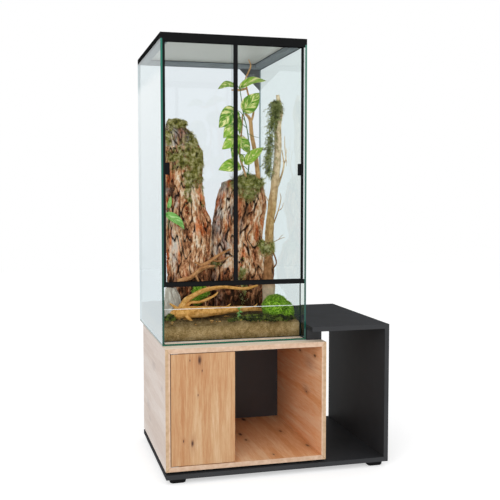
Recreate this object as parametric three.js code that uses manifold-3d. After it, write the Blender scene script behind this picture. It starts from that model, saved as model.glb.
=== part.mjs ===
// Terrarium cabinet: a tall front-opening glass terrarium on a knotty-oak cabinet that stands in a matt black
// C-shaped surround. Millimetres, +Z up. The front faces -Y, and the origin is the bottom centre of the whole.
import * as THREE from "three";
import { mergeVertices } from "three/addons/utils/BufferGeometryUtils.js";
import Module from "manifold-3d";

// ---- Driving dimensions -----------------------------------------------------------------------------------
const board = 19; // laminated board
const glueLine = 0.3; // gap left in each mitre
const seat = 0.3; // gap between a piece and what it is seated on

const carcassBeyondTank = 66; // room beside the tank for the riser
const carcassDepth = 650;
const carcassHeight = 490;
const backThickness = 8;
const backInset = 8; // back panel's rear face in from the rear edge
const doorWidth = 258; // cupboard door, from the left
const doorGap = 3; // reveal round the inset door
const bumperGap = 2; // between the door and the divider behind it

const surroundLength = 940;
const surroundFront = 10; // how far the black surround stands in front of the carcass
const surroundRear = 10; // and behind it
const plinthHeight = 9; // shadow gap under the carcass
const plinthInset = 20;
const shelfRise = 45; // gap between the carcass top and the black top board
const shelfGap = 2; // black top board's end to the tank
const riserFront = 60; // riser's front from the carcass front
const riserDepth = 540;

const footHeight = 21;
const footSize = 66;
const footInsetX = 17;
const footInsetY = 14;

const tankWidth = 600;
const tankDepth = 700;
const tankSetback = 68; // tank's front edge behind the carcass front
const glassHeight = 1208;
const glass = 8; // tank glass
const topFrameHeight = 24;
const topFrameWidth = 40;
const topFrameWall = 2;
const screenRebate = 12; // ledge that carries the screen
const screenThickness = 6;
const screenGap = 1;
const screenNetColumns = 12;
const screenNetRows = 14;
const screenBar = 4; // width of a net bar
const screenRim = 14;
const screenNetThickness = 1.6;

const paneThickness = 5; // sliding panes and lower panes
const lip = 2; // walls of the twin rails
const laneClear = 1; // play of a pane in its lane
const laneSpacer = 5; // rib between the two lanes
const railBottomZ = 236; // underside of the lower rail above the tank's bottom
const railHeight = 18;
const railFloor = 4;
const guideHeight = 10;
const guideRoof = 2;
const paneTopPlay = 2;
const paneSidePlay = 1;
const paneOverlap = 20;
const edgeWall = 1.8; // U profiles on the pane edges
const edgeWidth = 9;
const centreSealWidth = 18;
const sealTopGap = 1;
const pullWidth = 16;
const pullHeight = 48;
const pullThickness = 3;
const pullDish = 1.6;
const pullRim = 2.5;
const pullRadius = 3;
const pullDishRadius = 2;
const pullCentre = 704; // above the tank's bottom
const recess = 50; // lower panes behind the tank's front
const lowerPaneHeight = 131;
const paneSlit = 1;
const ventThickness = 2;
const ventSlots = 22;
const ventSlotShare = 0.6; // of a slot's pitch
const ventSlotMargin = 4; // strip left in front of the slots and behind them
const cornerLeg = 95; // triangular vent in the rear glass
const cornerBorder = 22; // frame round its net, at the top and the right
const cornerEdge = 5; // and along its slope
const cornerLip = 8;
const cornerLipThickness = 2;
const cornerNetPitch = 7;
const cornerNetBar = 2;

const pivotRadius = 2;
const pivotInset = 5; // pivot axis from the door's front and left faces
const pivotLength = 12;
const bushWall = 1.2;
const bushFlange = 1.2;
const bushFlangeReach = 0.7; // flange beyond the sleeve
const pivotPlate = 1.2;
const pivotPlateSize = 24;
const pivotPlateMargin = 0.5; // plate in from the door's faces
const pinShort = 1; // pin end below the hole's end
const latchLength = 50;
const latchSize = 12;
const latchNose = 6; // plunger beyond the housing
const latchNoseRadius = 4;
const strikeMargin = 4; // strike plate beyond the latch
const strikeThickness = 1;
const latchDrop = 40; // below the carcass top's underside

// ---- Derived places (x from the carcass's left side, y from its front, z from its underside) ---------------
const carcassWidth = tankWidth + carcassBeyondTank;
const surroundDepth = surroundFront + carcassDepth + surroundRear;
const baseTop = -plinthHeight;
const baseBottom = baseTop - board;
const floorZ = baseBottom - footHeight;
const shelfBottom = carcassHeight + shelfRise;
const shelfTop = shelfBottom + board;
const tankBottom = carcassHeight;
const tankFront = tankSetback;
const tankRear = tankFront + tankDepth;
const glassTop = tankBottom + glassHeight;
const tankFloor = tankBottom + glass;
const innerLeft = glass;
const innerRight = tankWidth - glass;
const frontLane = tankFront + lip + laneClear;
const rearLane = frontLane + paneThickness + 2 * laneClear + laneSpacer;
const railRear = rearLane + paneThickness + laneClear + lip;
const railZ = tankBottom + railBottomZ;
const railTop = railZ + railHeight;
const paneBottom = railZ + railFloor + seat;
const guideZ = glassTop - guideHeight;
const paneTop = glassTop - guideRoof - paneTopPlay;
const recessFront = tankFront + recess;
const recessRear = recessFront + paneThickness;
const ventZ = railZ + (railHeight - ventThickness) / 2;
const doorLeft = board + doorGap;
const doorRight = doorLeft + doorWidth;
const doorBottom = board + doorGap;
const doorTop = carcassHeight - board - doorGap;
const dividerLeft = doorRight - board;
const backFront = carcassDepth - backInset - backThickness;
const pivotX = doorLeft + pivotInset;
const pivotY = pivotInset;
const totalRear = Math.max(tankRear, carcassDepth + surroundRear);

// ---- Materials --------------------------------------------------------------------------------------------
const look = (color, roughness, metalness = 0, extra = {}) =>
  new THREE.MeshStandardMaterial({ color, roughness, metalness, ...extra });
const oak = look("#cfa273", 0.55);
const anthracite = look("#3a3b3c", 0.6);
const blackPlastic = look("#141414", 0.45);
const blackAluminium = look("#17181a", 0.4, 0.8);
const clearGlass = look("#d8e8e6", 0.05, 0, { transparent: true, opacity: 0.35 });
const steelNet = look("#8e9190", 0.5, 0.7);
const zinc = look("#a8abad", 0.35, 0.9);
const soil = look("#7d6950", 0.95);
const bark = look("#7a4e33", 0.9);
const paleWood = look("#c08a52", 0.8);
const moss = look("#6d7d2a", 0.95);
const leaf = look("#6f9f45", 0.6);
const cork = look("#9a948a", 0.95);

// ---- Tools ------------------------------------------------------------------------------------------------
const wasm = await Module();
wasm.setup();

const root = new THREE.Group();
root.position.set(-surroundLength / 2, -(totalRear - surroundFront) / 2, -floorZ);

function add(name, geometry, material) {
  const mesh = new THREE.Mesh(geometry, material);
  mesh.name = name;
  root.add(mesh);
  return mesh;
}

function solid(geometry) {
  const bare = geometry.clone();
  bare.deleteAttribute("normal");
  bare.deleteAttribute("uv");
  const merged = mergeVertices(bare, 1e-3);
  return new wasm.Manifold(
    new wasm.Mesh({
      numProp: 3,
      vertProperties: new Float32Array(merged.attributes.position.array),
      triVerts: new Uint32Array(merged.index.array),
    }),
  );
}

function geometryOf(manifold) {
  const mesh = manifold.getMesh();
  const geometry = new THREE.BufferGeometry();
  geometry.setAttribute("position", new THREE.BufferAttribute(mesh.vertProperties.slice(), 3));
  geometry.setIndex([...mesh.triVerts]);
  geometry.computeVertexNormals();
  return geometry;
}

const cut = (geometry, ...tools) =>
  geometryOf(tools.reduce((left, tool) => left.subtract(solid(tool)), solid(geometry)));
const join = (...pieces) => geometryOf(pieces.map(solid).reduce((sum, piece) => sum.add(piece)));

// A block between two corners.
function block(x0, x1, y0, y1, z0, z1) {
  return new THREE.BoxGeometry(x1 - x0, y1 - y0, z1 - z0).translate((x0 + x1) / 2, (y0 + y1) / 2, (z0 + z1) / 2);
}

const outline = (points) => new THREE.Shape(points.map(([u, v]) => new THREE.Vector2(u, v)));

// An outline in (x, z) carried along +Y from y0 to y1.
function alongY(shape, y0, y1, curveSegments = 8) {
  const extruded = new THREE.ExtrudeGeometry(shape, { depth: y1 - y0, bevelEnabled: false, curveSegments });
  return extruded.rotateX(Math.PI / 2).translate(0, y1, 0);
}

// An outline in (x, y) carried up from z0 to z1.
function alongZ(shape, z0, z1) {
  const extruded = new THREE.ExtrudeGeometry(shape, { depth: z1 - z0, bevelEnabled: false });
  return extruded.translate(0, 0, z0);
}

// An outline in (y, z) carried along +X from x0 to x1.
function alongX(shape, x0, x1) {
  const extruded = new THREE.ExtrudeGeometry(shape, { depth: x1 - x0, bevelEnabled: false });
  return extruded.rotateY(Math.PI / 2).rotateX(Math.PI / 2).translate(x0, 0, 0);
}

function roundedRectangle(width, height, radius) {
  const shape = new THREE.Shape();
  const x = width / 2;
  const y = height / 2;
  shape.moveTo(-x + radius, -y);
  shape.lineTo(x - radius, -y);
  shape.absarc(x - radius, -y + radius, radius, -Math.PI / 2, 0);
  shape.lineTo(x, y - radius);
  shape.absarc(x - radius, y - radius, radius, 0, Math.PI / 2);
  shape.lineTo(-x + radius, y);
  shape.absarc(-x + radius, y - radius, radius, Math.PI / 2, Math.PI);
  shape.lineTo(-x, -y + radius);
  shape.absarc(-x + radius, -y + radius, radius, Math.PI, 1.5 * Math.PI);
  return shape;
}

// A closed skin over rings of equal point counts, capped at both ends.
function loft(rings) {
  const count = rings[0].length;
  const centre = (ring) => ring.reduce((sum, p) => sum.add(p), new THREE.Vector3()).divideScalar(count);
  const points = [...rings.flat(), centre(rings[0]), centre(rings.at(-1))];
  const first = points.length - 2;
  const last = points.length - 1;
  const faces = [];
  for (let r = 0; r + 1 < rings.length; r++)
    for (let i = 0; i < count; i++) {
      const a = r * count + i;
      const b = r * count + ((i + 1) % count);
      faces.push(a, b, b + count, a, b + count, a + count);
    }
  const top = (rings.length - 1) * count;
  for (let i = 0; i < count; i++) {
    const j = (i + 1) % count;
    faces.push(first, j, i, last, top + i, top + j);
  }
  const geometry = new THREE.BufferGeometry().setFromPoints(points);
  geometry.setIndex(faces);
  geometry.computeVertexNormals();
  return geometry;
}

// A ring of points round a path's point, square to the path.
function ringAt(point, direction, radiusAt, sides) {
  const side = new THREE.Vector3().crossVectors(direction, new THREE.Vector3(0, 1, 0));
  if (side.lengthSq() < 1e-4) side.set(1, 0, 0);
  side.normalize();
  const up = new THREE.Vector3().crossVectors(direction, side).normalize();
  return Array.from({ length: sides }, (_, i) => {
    const turn = (i / sides) * 2 * Math.PI;
    const reach = radiusAt(turn);
    return point.clone().addScaledVector(side, Math.cos(turn) * reach).addScaledVector(up, Math.sin(turn) * reach);
  });
}

// A limb along a smooth path: radii at its points, knobbly by a slow wave.
function limb(path, radii, { sides = 7, steps = 4, knob = 0.12, phase = 0, grow = 0 } = {}) {
  const curve = new THREE.CatmullRomCurve3(path.map(([x, y, z]) => new THREE.Vector3(x, y, z)), false, "centripetal");
  const count = (path.length - 1) * steps;
  const rings = [];
  for (let i = 0; i <= count; i++) {
    const t = i / count;
    const at = t * (radii.length - 1);
    const low = Math.min(Math.floor(at), radii.length - 2);
    const radius = radii[low] + (radii[low + 1] - radii[low]) * (at - low);
    const wave = (turn) => radius * (1 + knob * Math.sin(2 * turn + 1.7 * i + phase)) + grow;
    rings.push(ringAt(curve.getPoint(t), curve.getTangent(t), wave, sides));
  }
  return loft(rings);
}

// A rounded lump that swells a little here and there.
function lump(centre, size, { across = 12, down = 8, bump = 0.08, phase = 0, grow = 0 } = {}) {
  const ball = new THREE.SphereGeometry(1, across, down);
  const at = ball.attributes.position;
  for (let i = 0; i < at.count; i++) {
    const p = new THREE.Vector3().fromBufferAttribute(at, i);
    const swell = 1 + bump * Math.sin(4 * p.x + phase) * Math.cos(3 * p.y + 2 * p.z + phase);
    at.setXYZ(
      i,
      centre[0] + p.x * (size[0] * swell + grow),
      centre[1] + p.y * (size[1] * swell + grow),
      centre[2] + p.z * (size[2] * swell + grow),
    );
  }
  return ball;
}

// ---- Oak carcass: four mitred boards, a divider, a black back and a pivoted door ----------------------------
const mitreInset = glueLine / Math.SQRT2;

// A mitred board as an outline: its outer edge runs from 0 to length, its inner edge is a board's thickness in.
function mitredOutline(length, mitreStart, mitreEnd) {
  const start = mitreStart ? mitreInset : 0;
  const end = length - (mitreEnd ? mitreInset : 0);
  return [
    [start, 0],
    [end, 0],
    [end - (mitreEnd ? board : 0), board],
    [start + (mitreStart ? board : 0), board],
  ];
}

function mitredBoard(place, length, y0, y1, mitreStart = true, mitreEnd = true) {
  return alongY(outline(mitredOutline(length, mitreStart, mitreEnd).map(place)), y0, y1);
}

function buildCarcass() {
  const d = carcassDepth;
  add("oak_bottom", mitredBoard(([u, v]) => [u, v], carcassWidth, 0, d), oak);
  add("oak_top", mitredBoard(([u, v]) => [carcassWidth - u, carcassHeight - v], carcassWidth, 0, d), oak);
  add("oak_side_left", mitredBoard(([u, v]) => [v, carcassHeight - u], carcassHeight, 0, d), oak);
  add("oak_side_right", mitredBoard(([u, v]) => [carcassWidth - v, u], carcassHeight, 0, d), oak);
  const inner = [board, carcassHeight - board];
  add("oak_divider", block(dividerLeft, doorRight, board + bumperGap, backFront, ...inner), oak);
  const back = block(board, carcassWidth - board, backFront, backFront + backThickness, ...inner);
  add("back_panel", back, anthracite);
}

function buildCupboardDoor() {
  const holeRadius = pivotRadius + seat + bushWall + seat;
  const hole = (z0, z1) => new THREE.CylinderGeometry(holeRadius, holeRadius, z1 - z0, 20)
    .rotateX(Math.PI / 2).translate(pivotX, pivotY, (z0 + z1) / 2);
  const slab = block(doorLeft, doorRight, 0, board, doorBottom, doorTop);
  const depth = pivotLength + 2 * seat;
  const door = cut(slab, hole(doorBottom - 1, doorBottom + depth), hole(doorTop - depth, doorTop + 1));
  add("cupboard_door", door, oak);
}

// A flanged sleeve in the door's end, turned about the pivot axis; up is +1 at the lower pivot, -1 at the upper.
function pivotBush(up, face) {
  const bore = pivotRadius + seat;
  const sleeve = bore + bushWall;
  const flange = sleeve + bushFlangeReach;
  const profile = [
    [bore, 0],
    [flange, 0],
    [flange, bushFlange],
    [sleeve, bushFlange],
    [sleeve, pivotLength],
    [bore, pivotLength],
    [bore, 0],
  ].map(([r, z]) => new THREE.Vector2(r, z));
  const turned = new THREE.LatheGeometry(profile, 20).rotateX(Math.PI / 2);
  if (up < 0) turned.rotateX(Math.PI);
  return turned.translate(pivotX, pivotY, face);
}

// A plate screwed to the carcass with the fixed pin on it.
function pivotPin(up, face) {
  const half = pivotInset - pivotPlateMargin;
  const plate = block(
    pivotX - half, pivotX + pivotPlateSize, pivotY - half, pivotY + pivotPlateSize / 2,
    Math.min(face, face + up * pivotPlate), Math.max(face, face + up * pivotPlate),
  );
  const length = pivotPlate + seat + pivotLength - pinShort;
  const pin = new THREE.CylinderGeometry(pivotRadius, pivotRadius, length, 20)
    .rotateX(Math.PI / 2).translate(pivotX, pivotY, face + (up * length) / 2);
  return join(plate, pin);
}

function buildDoorFittings() {
  const low = board;
  const high = carcassHeight - board;
  add("pivot_pin_lower", pivotPin(1, low), zinc);
  add("pivot_pin_upper", pivotPin(-1, high), zinc);
  add("pivot_bush_lower", pivotBush(1, low + pivotPlate + seat), blackPlastic);
  add("pivot_bush_upper", pivotBush(-1, high - pivotPlate - seat), blackPlastic);
  const z = high - latchDrop;
  const tip = board + strikeThickness + seat;
  const front = board + bumperGap + latchNose;
  const left = dividerLeft - latchSize;
  const housing = block(left, dividerLeft, front, front + latchLength, z - latchSize, z);
  const nose = front + latchNoseRadius - tip;
  const plunger = new THREE.CylinderGeometry(latchNoseRadius, latchNoseRadius, nose, 20)
    .translate((left + dividerLeft) / 2, tip + nose / 2, z - latchSize / 2);
  add("push_latch", join(housing, plunger), blackPlastic);
  const strike = block(
    left - strikeMargin, dividerLeft, board, board + strikeThickness, z - latchSize - strikeMargin, z + strikeMargin,
  );
  add("strike_plate", strike, zinc);
}

// ---- Black surround: base, right panel and top board with mitred corners, plinth, riser and feet ------------
function buildSurround() {
  const y0 = -surroundFront;
  const y1 = y0 + surroundDepth;
  const panelHeight = shelfTop - baseBottom;
  const shelfLeft = tankWidth + shelfGap;
  const base = mitredBoard(([u, v]) => [u, baseBottom + v], surroundLength, y0, y1, false, true);
  add("surround_base", base, anthracite);
  const panel = mitredBoard(([u, v]) => [surroundLength - v, baseBottom + u], panelHeight, y0, y1);
  add("surround_panel", panel, anthracite);
  const shelfLength = surroundLength - shelfLeft;
  const shelf = mitredBoard(([u, v]) => [surroundLength - u, shelfTop - v], shelfLength, y0, y1, true, false);
  add("surround_shelf", shelf, anthracite);
  const plinth = block(
    plinthInset, carcassWidth - plinthInset, plinthInset, carcassDepth - plinthInset, baseTop, 0,
  );
  add("plinth_spacer", plinth, blackPlastic);
  const riser = block(shelfLeft, carcassWidth, riserFront, riserFront + riserDepth, carcassHeight, shelfBottom);
  add("shelf_riser", riser, anthracite);
}

// A glide foot: a rounded square that tapers to a softened sole, as [share of the height, share of the size].
const footSections = [[0, 0.8], [0.14, 0.93], [0.45, 0.97], [1, 1]];

function foot(x, y) {
  return loft(footSections.map(([rise, share]) => {
    const size = footSize * share;
    return roundedRectangle(size, size, size / 6).getPoints(4)
      .slice(0, -1)
      .map((p) => new THREE.Vector3(x + p.x, y + p.y, floorZ + rise * footHeight));
  }));
}

function buildFeet() {
  const left = footInsetX + footSize / 2;
  const front = -surroundFront + footInsetY + footSize / 2;
  const right = surroundLength - left;
  const rear = -surroundFront + surroundDepth - footInsetY - footSize / 2;
  add("foot_front_left", foot(left, front), blackPlastic);
  add("foot_front_right", foot(right, front), blackPlastic);
  add("foot_rear_left", foot(left, rear), blackPlastic);
  add("foot_rear_right", foot(right, rear), blackPlastic);
}

// ---- Tank glass -------------------------------------------------------------------------------------------
function buildGlass() {
  add("glass_bottom", block(0, tankWidth, tankFront, tankRear, tankBottom, tankFloor), clearGlass);
  add("glass_left", block(0, glass, tankFront, tankRear, tankFloor, glassTop), clearGlass);
  add("glass_right", block(innerRight, tankWidth, tankFront, tankRear, tankFloor, glassTop), clearGlass);
  const rear = outline([
    [innerLeft, tankFloor],
    [innerRight, tankFloor],
    [innerRight, glassTop - cornerLeg],
    [innerRight - cornerLeg, glassTop],
    [innerLeft, glassTop],
  ]);
  add("glass_rear", alongY(rear, tankRear - glass, tankRear), clearGlass);
  const lowTop = tankFloor + lowerPaneHeight;
  add("lower_pane", block(innerLeft, innerRight, recessFront, recessRear, tankFloor, lowTop), clearGlass);
  add("middle_pane", block(innerLeft, innerRight, recessFront, recessRear, lowTop + paneSlit, ventZ), clearGlass);
}

// The triangular vent that closes the rear glass's cut corner: a frame with a net in it and a lip inside the tank.
function buildCornerVent() {
  const corner = (top, right, reach) => outline([
    [right, top],
    [right - reach, top],
    [right, top - reach],
  ]);
  const rear = tankRear - glass;
  const plate = alongY(corner(glassTop, innerRight, cornerLeg - seat * Math.SQRT2), rear, tankRear);
  const flange = alongY(corner(glassTop, innerRight, cornerLeg + cornerLip), rear - cornerLipThickness, rear);
  const opening = cornerLeg - cornerEdge * Math.SQRT2 - 2 * cornerBorder;
  const windowRight = innerRight - cornerBorder;
  const windowTop = glassTop - cornerBorder;
  const window = alongY(corner(windowTop, windowRight, opening), rear - 2 * glass, tankRear + glass);
  const middle = rear + glass / 2;
  const half = cornerNetBar / 2;
  const bars = [];
  for (let at = cornerNetPitch - cornerNetBar; at < opening - cornerNetPitch; at += cornerNetPitch) {
    const x = windowRight - at;
    const z = windowTop - at;
    const end = cornerBorder / 2;
    const far = opening - at + cornerEdge / 2;
    bars.push(block(x - cornerNetBar, x, middle - cornerNetBar, middle, windowTop - far, windowTop + end));
    bars.push(block(windowRight - far, windowRight + end, middle - half, middle + half, z - cornerNetBar, z));
  }
  add("corner_vent", join(cut(join(plate, flange), window), ...bars), blackPlastic);
}

// ---- Twin rails, ventilation strip and sliding panes --------------------------------------------------------
// Section of a twin rail in (depth behind the tank's front, height), grooves opening upwards.
function twinRailSection(height, floor) {
  const lane = paneThickness + 2 * laneClear;
  const marks = [lip, lip + lane, lip + lane + laneSpacer, lip + 2 * lane + laneSpacer, 2 * lip + 2 * lane + laneSpacer];
  return [
    [0, 0],
    [marks[4], 0],
    [marks[4], height],
    [marks[3], height],
    [marks[3], floor],
    [marks[2], floor],
    [marks[2], height],
    [marks[1], height],
    [marks[1], floor],
    [marks[0], floor],
    [marks[0], height],
    [0, height],
  ];
}

function buildRails() {
  const lower = twinRailSection(railHeight, railFloor).map(([y, z]) => [tankFront + y, railZ + z]);
  add("rail_lower", alongX(outline(lower), innerLeft, innerRight), blackAluminium);
  const upper = twinRailSection(guideHeight, guideRoof).map(([y, z]) => [tankFront + y, glassTop - z]);
  add("rail_upper", alongX(outline(upper.reverse()), innerLeft, innerRight), blackAluminium);
  const pitch = (innerRight - innerLeft) / ventSlots;
  const slots = [];
  for (let i = 0; i < ventSlots; i++) {
    const x = innerLeft + (i + (1 - ventSlotShare) / 2) * pitch;
    slots.push(block(
      x, x + ventSlotShare * pitch, railRear + ventSlotMargin, recessFront - ventSlotMargin,
      ventZ - 1, ventZ + ventThickness + 1,
    ));
  }
  const strip = block(innerLeft, innerRight, railRear, recessRear, ventZ, ventZ + ventThickness);
  add("vent_strip", cut(strip, ...slots), steelNet);
}

// A U profile round a pane's upright edge: its web at edgeX, its legs reaching inwards (towards = +1 or -1).
function edgeProfile(edgeX, towards, laneY, frontWidth, rearWidth) {
  const u = (reach) => edgeX + towards * reach;
  const y0 = laneY - edgeWall;
  const y1 = laneY + paneThickness + edgeWall;
  const points = [
    [u(0), y0],
    [u(frontWidth), y0],
    [u(frontWidth), laneY],
    [u(edgeWall), laneY],
    [u(edgeWall), laneY + paneThickness],
    [u(rearWidth), laneY + paneThickness],
    [u(rearWidth), y1],
    [u(0), y1],
  ];
  return alongZ(outline(towards > 0 ? points : points.reverse()), railTop + sealTopGap, guideZ - sealTopGap);
}

// A finger pull stuck to a pane: a rounded plate with a shallow dish.
function fingerPull(x, laneY) {
  const plate = (width, height, radius, y0, y1) =>
    alongY(roundedRectangle(width, height, radius), y0, y1, 4).translate(x, 0, tankBottom + pullCentre);
  const front = laneY - pullThickness;
  const [dishWidth, dishHeight] = [pullWidth - 2 * pullRim, pullHeight - 2 * pullRim];
  return cut(
    plate(pullWidth, pullHeight, pullRadius, front, laneY),
    plate(dishWidth, dishHeight, pullDishRadius, front - 1, front + pullDish),
  );
}

function buildSlidingPanes() {
  const width = (innerRight - innerLeft - 2 * paneSidePlay + paneOverlap) / 2;
  const leftStart = innerLeft + paneSidePlay;
  const leftEnd = leftStart + width;
  const rightEnd = innerRight - paneSidePlay;
  const rightStart = rightEnd - width;
  const pane = (x0, x1, laneY) => block(x0, x1, laneY, laneY + paneThickness, paneBottom, paneTop);
  add("pane_left", pane(leftStart + edgeWall, leftEnd - edgeWall, frontLane), clearGlass);
  add("pane_left_edge", edgeProfile(leftStart, 1, frontLane, edgeWidth, edgeWidth), blackPlastic);
  add("pane_left_seal", edgeProfile(leftEnd, -1, frontLane, centreSealWidth, edgeWidth), blackPlastic);
  add("pane_left_pull", fingerPull(leftStart + edgeWidth + pullWidth / 2, frontLane), blackPlastic);
  add("pane_right", pane(rightStart, rightEnd - edgeWall, rearLane), clearGlass);
  add("pane_right_edge", edgeProfile(rightEnd, -1, rearLane, edgeWidth, edgeWidth), blackPlastic);
  add("pane_right_pull", fingerPull(rightEnd - edgeWidth - pullWidth / 2, rearLane), blackPlastic);
}

// ---- Top frame: four hollow mitred profiles with a rebate for the lift-off screen ---------------------------
function frameSection() {
  const ledge = topFrameHeight - screenThickness;
  const shape = outline([
    [0, 0],
    [topFrameWidth, 0],
    [topFrameWidth, ledge],
    [topFrameWidth - screenRebate, ledge],
    [topFrameWidth - screenRebate, topFrameHeight],
    [0, topFrameHeight],
  ]);
  const wall = topFrameWall;
  const chamber = [
    [wall, wall],
    [wall, topFrameHeight - wall],
    [topFrameWidth - screenRebate - wall, topFrameHeight - wall],
    [topFrameWidth - screenRebate - wall, ledge - wall],
    [topFrameWidth - wall, ledge - wall],
    [topFrameWidth - wall, wall],
  ];
  shape.holes.push(new THREE.Path(chamber.map(([u, v]) => new THREE.Vector2(u, v))));
  return shape;
}

// One side of the frame: the section runs along +X with its outer face at y = 0, both ends cut at 45 degrees.
function frameSide(length) {
  const bar = alongX(frameSection(), 0, length);
  const inset = mitreInset;
  const far = 2 * topFrameWidth;
  const wedge = (points) => alongZ(outline(points), -1, topFrameHeight + 1);
  const near = wedge([[inset - far, -far], [inset + far, far], [inset - far, far]]);
  const away = wedge([[length - inset + far, -far], [length - inset + far, far], [length - inset - far, far]]);
  return cut(bar, near, away);
}

function buildTopFrame() {
  const place = (name, geometry) => add(name, geometry.translate(0, 0, glassTop), blackAluminium);
  place("frame_front", frameSide(tankWidth).translate(0, tankFront, 0));
  place("frame_rear", frameSide(tankWidth).rotateZ(Math.PI).translate(tankWidth, tankRear, 0));
  place("frame_left", frameSide(tankDepth).rotateZ(-Math.PI / 2).translate(0, tankRear, 0));
  place("frame_right", frameSide(tankDepth).rotateZ(Math.PI / 2).translate(tankWidth, tankFront, 0));
}

function buildScreen() {
  const inset = topFrameWidth - screenRebate + screenGap;
  const [x0, x1, y0, y1] = [inset, tankWidth - inset, tankFront + inset, tankRear - inset];
  const z0 = glassTop + topFrameHeight - screenThickness;
  const wireZ = z0 + screenNetThickness / 2;
  const pitchX = (x1 - x0 - 2 * screenRim + screenBar) / screenNetColumns;
  const pitchY = (y1 - y0 - 2 * screenRim + screenBar) / screenNetRows;
  const inside = block(x0 + screenRim, x1 - screenRim, y0 + screenRim, y1 - screenRim, z0 - 1, z0 + screenThickness + 1);
  const bars = [];
  for (let i = 1; i < screenNetColumns; i++) {
    const x = x0 + screenRim + i * pitchX - screenBar;
    bars.push(block(x, x + screenBar, y0 + screenRim / 2, y1 - screenRim / 2, wireZ, wireZ + screenNetThickness));
  }
  for (let j = 1; j < screenNetRows; j++) {
    const y = y0 + screenRim + j * pitchY - screenBar;
    const over = wireZ + screenNetThickness / 2;
    bars.push(block(x0 + screenRim / 2, x1 - screenRim / 2, y, y + screenBar, over, over + screenNetThickness));
  }
  const rim = cut(block(x0, x1, y0, y1, z0, z0 + screenThickness), inside);
  const panel = join(rim, ...bars);
  add("top_screen", panel, steelNet);
}

// ---- Planting: soil, two bark slabs, a trunk, driftwood, cork, moss and a climbing vine ----------------------
const soilDepth = 66; // above the tank's floor, behind the lower pane
const soilRise = 16; // extra depth at the rear
const soilGap = 1; // round the soil
const soilTop = tankFloor + soilDepth;
const rooted = 24; // how deep upright pieces stand in the soil
const leafThickness = 1.6;
const petioleRadius = 1.6;
const petioleDrop = 24; // from a leaf's base down to its root on the stem

// The planting's shapes are laid out in a tank of this width, depth and glass height whose front is at layoutFront,
// and are stretched to the tank they stand in.
const layoutTank = [600, 700, 1208];
const layoutFront = 68;
const planted = (geometry) => geometry
  .translate(0, -layoutFront, -soilTop)
  .scale(tankWidth / layoutTank[0], tankDepth / layoutTank[1], glassHeight / layoutTank[2])
  .translate(0, tankFront, soilTop);

const soilHeight = (x, y) =>
  soilDepth + (soilRise * (y - recessRear)) / tankDepth + 2.5 * Math.sin(x / 47) + 2 * Math.cos(y / 61 + x / 90);

function soilBed() {
  const x0 = innerLeft + soilGap;
  const x1 = innerRight - soilGap;
  const y0 = recessRear + soilGap;
  const y1 = tankRear - glass - soilGap;
  const columns = 12;
  const rows = 10;
  const rings = [];
  for (let j = 0; j <= rows; j++) {
    const y = y0 + ((y1 - y0) * j) / rows;
    const ring = [new THREE.Vector3(x0, y, tankFloor), new THREE.Vector3(x1, y, tankFloor)];
    for (let i = columns; i >= 0; i--) {
      const x = x0 + ((x1 - x0) * i) / columns;
      ring.push(new THREE.Vector3(x, y, tankFloor + soilHeight(x, y)));
    }
    rings.push(ring.reverse());
  }
  return loft(rings);
}

// An upright slab of bark: each station is [height above the soil, left x, right x]; it leans back by lean per mm.
function barkSlab(stations, y, halfDepth, { sides = 16, lean = 0.02, phase = 0, grow = 0 } = {}) {
  return loft(stations.map(([z, left, right], k) => {
    const taper = Math.min(1, (right - left) / 150);
    return Array.from({ length: sides }, (_, i) => {
      const turn = (i / sides) * 2 * Math.PI;
      const rough = 1 + 0.07 * Math.sin(5 * turn + 1.3 * k + phase);
      return new THREE.Vector3(
        (left + right) / 2 + Math.cos(turn) * ((right - left) / 2 + grow),
        y + lean * z + Math.sin(turn) * (halfDepth * taper * rough + grow),
        soilTop + z,
      );
    });
  }));
}

const leftSlab = (grow = 0) => planted(barkSlab([
  [-rooted, 84, 284],
  [60, 82, 282],
  [240, 80, 275],
  [400, 79, 282],
  [480, 79, 254],
  [570, 78, 240],
  [700, 78, 244],
  [785, 79, 210],
  [832, 80, 166],
  [856, 92, 134],
], 440, 38, { phase: 0.4, grow }));

const rightSlab = (grow = 0) => planted(barkSlab([
  [-rooted, 290, 524],
  [50, 290, 538],
  [130, 285, 580],
  [200, 283, 584],
  [295, 288, 556],
  [330, 291, 526],
  [400, 297, 532],
  [490, 311, 548],
  [530, 322, 540],
  [580, 340, 530],
  [592, 372, 500],
], 480, 40, { phase: 2.1, grow }));

const trunk = (grow = 0) => planted(join(
  limb(
    [[500, 300, soilTop - rooted], [503, 300, soilTop + 310], [520, 300, soilTop + 540], [543, 300, soilTop + 670],
      [552, 300, soilTop + 820], [566, 300, soilTop + 874], [537, 300, soilTop + 960]],
    [19, 18, 16, 14, 13, 12, 7],
    { sides: 9, steps: 3, grow },
  ),
  limb([[514, 302, soilTop + 500], [545, 308, soilTop + 560], [562, 312, soilTop + 600], [566, 312, soilTop + 700],
    [562, 312, soilTop + 790]], [6, 5, 4, 2.5], { sides: 6, steps: 2, grow }),
));

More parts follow.
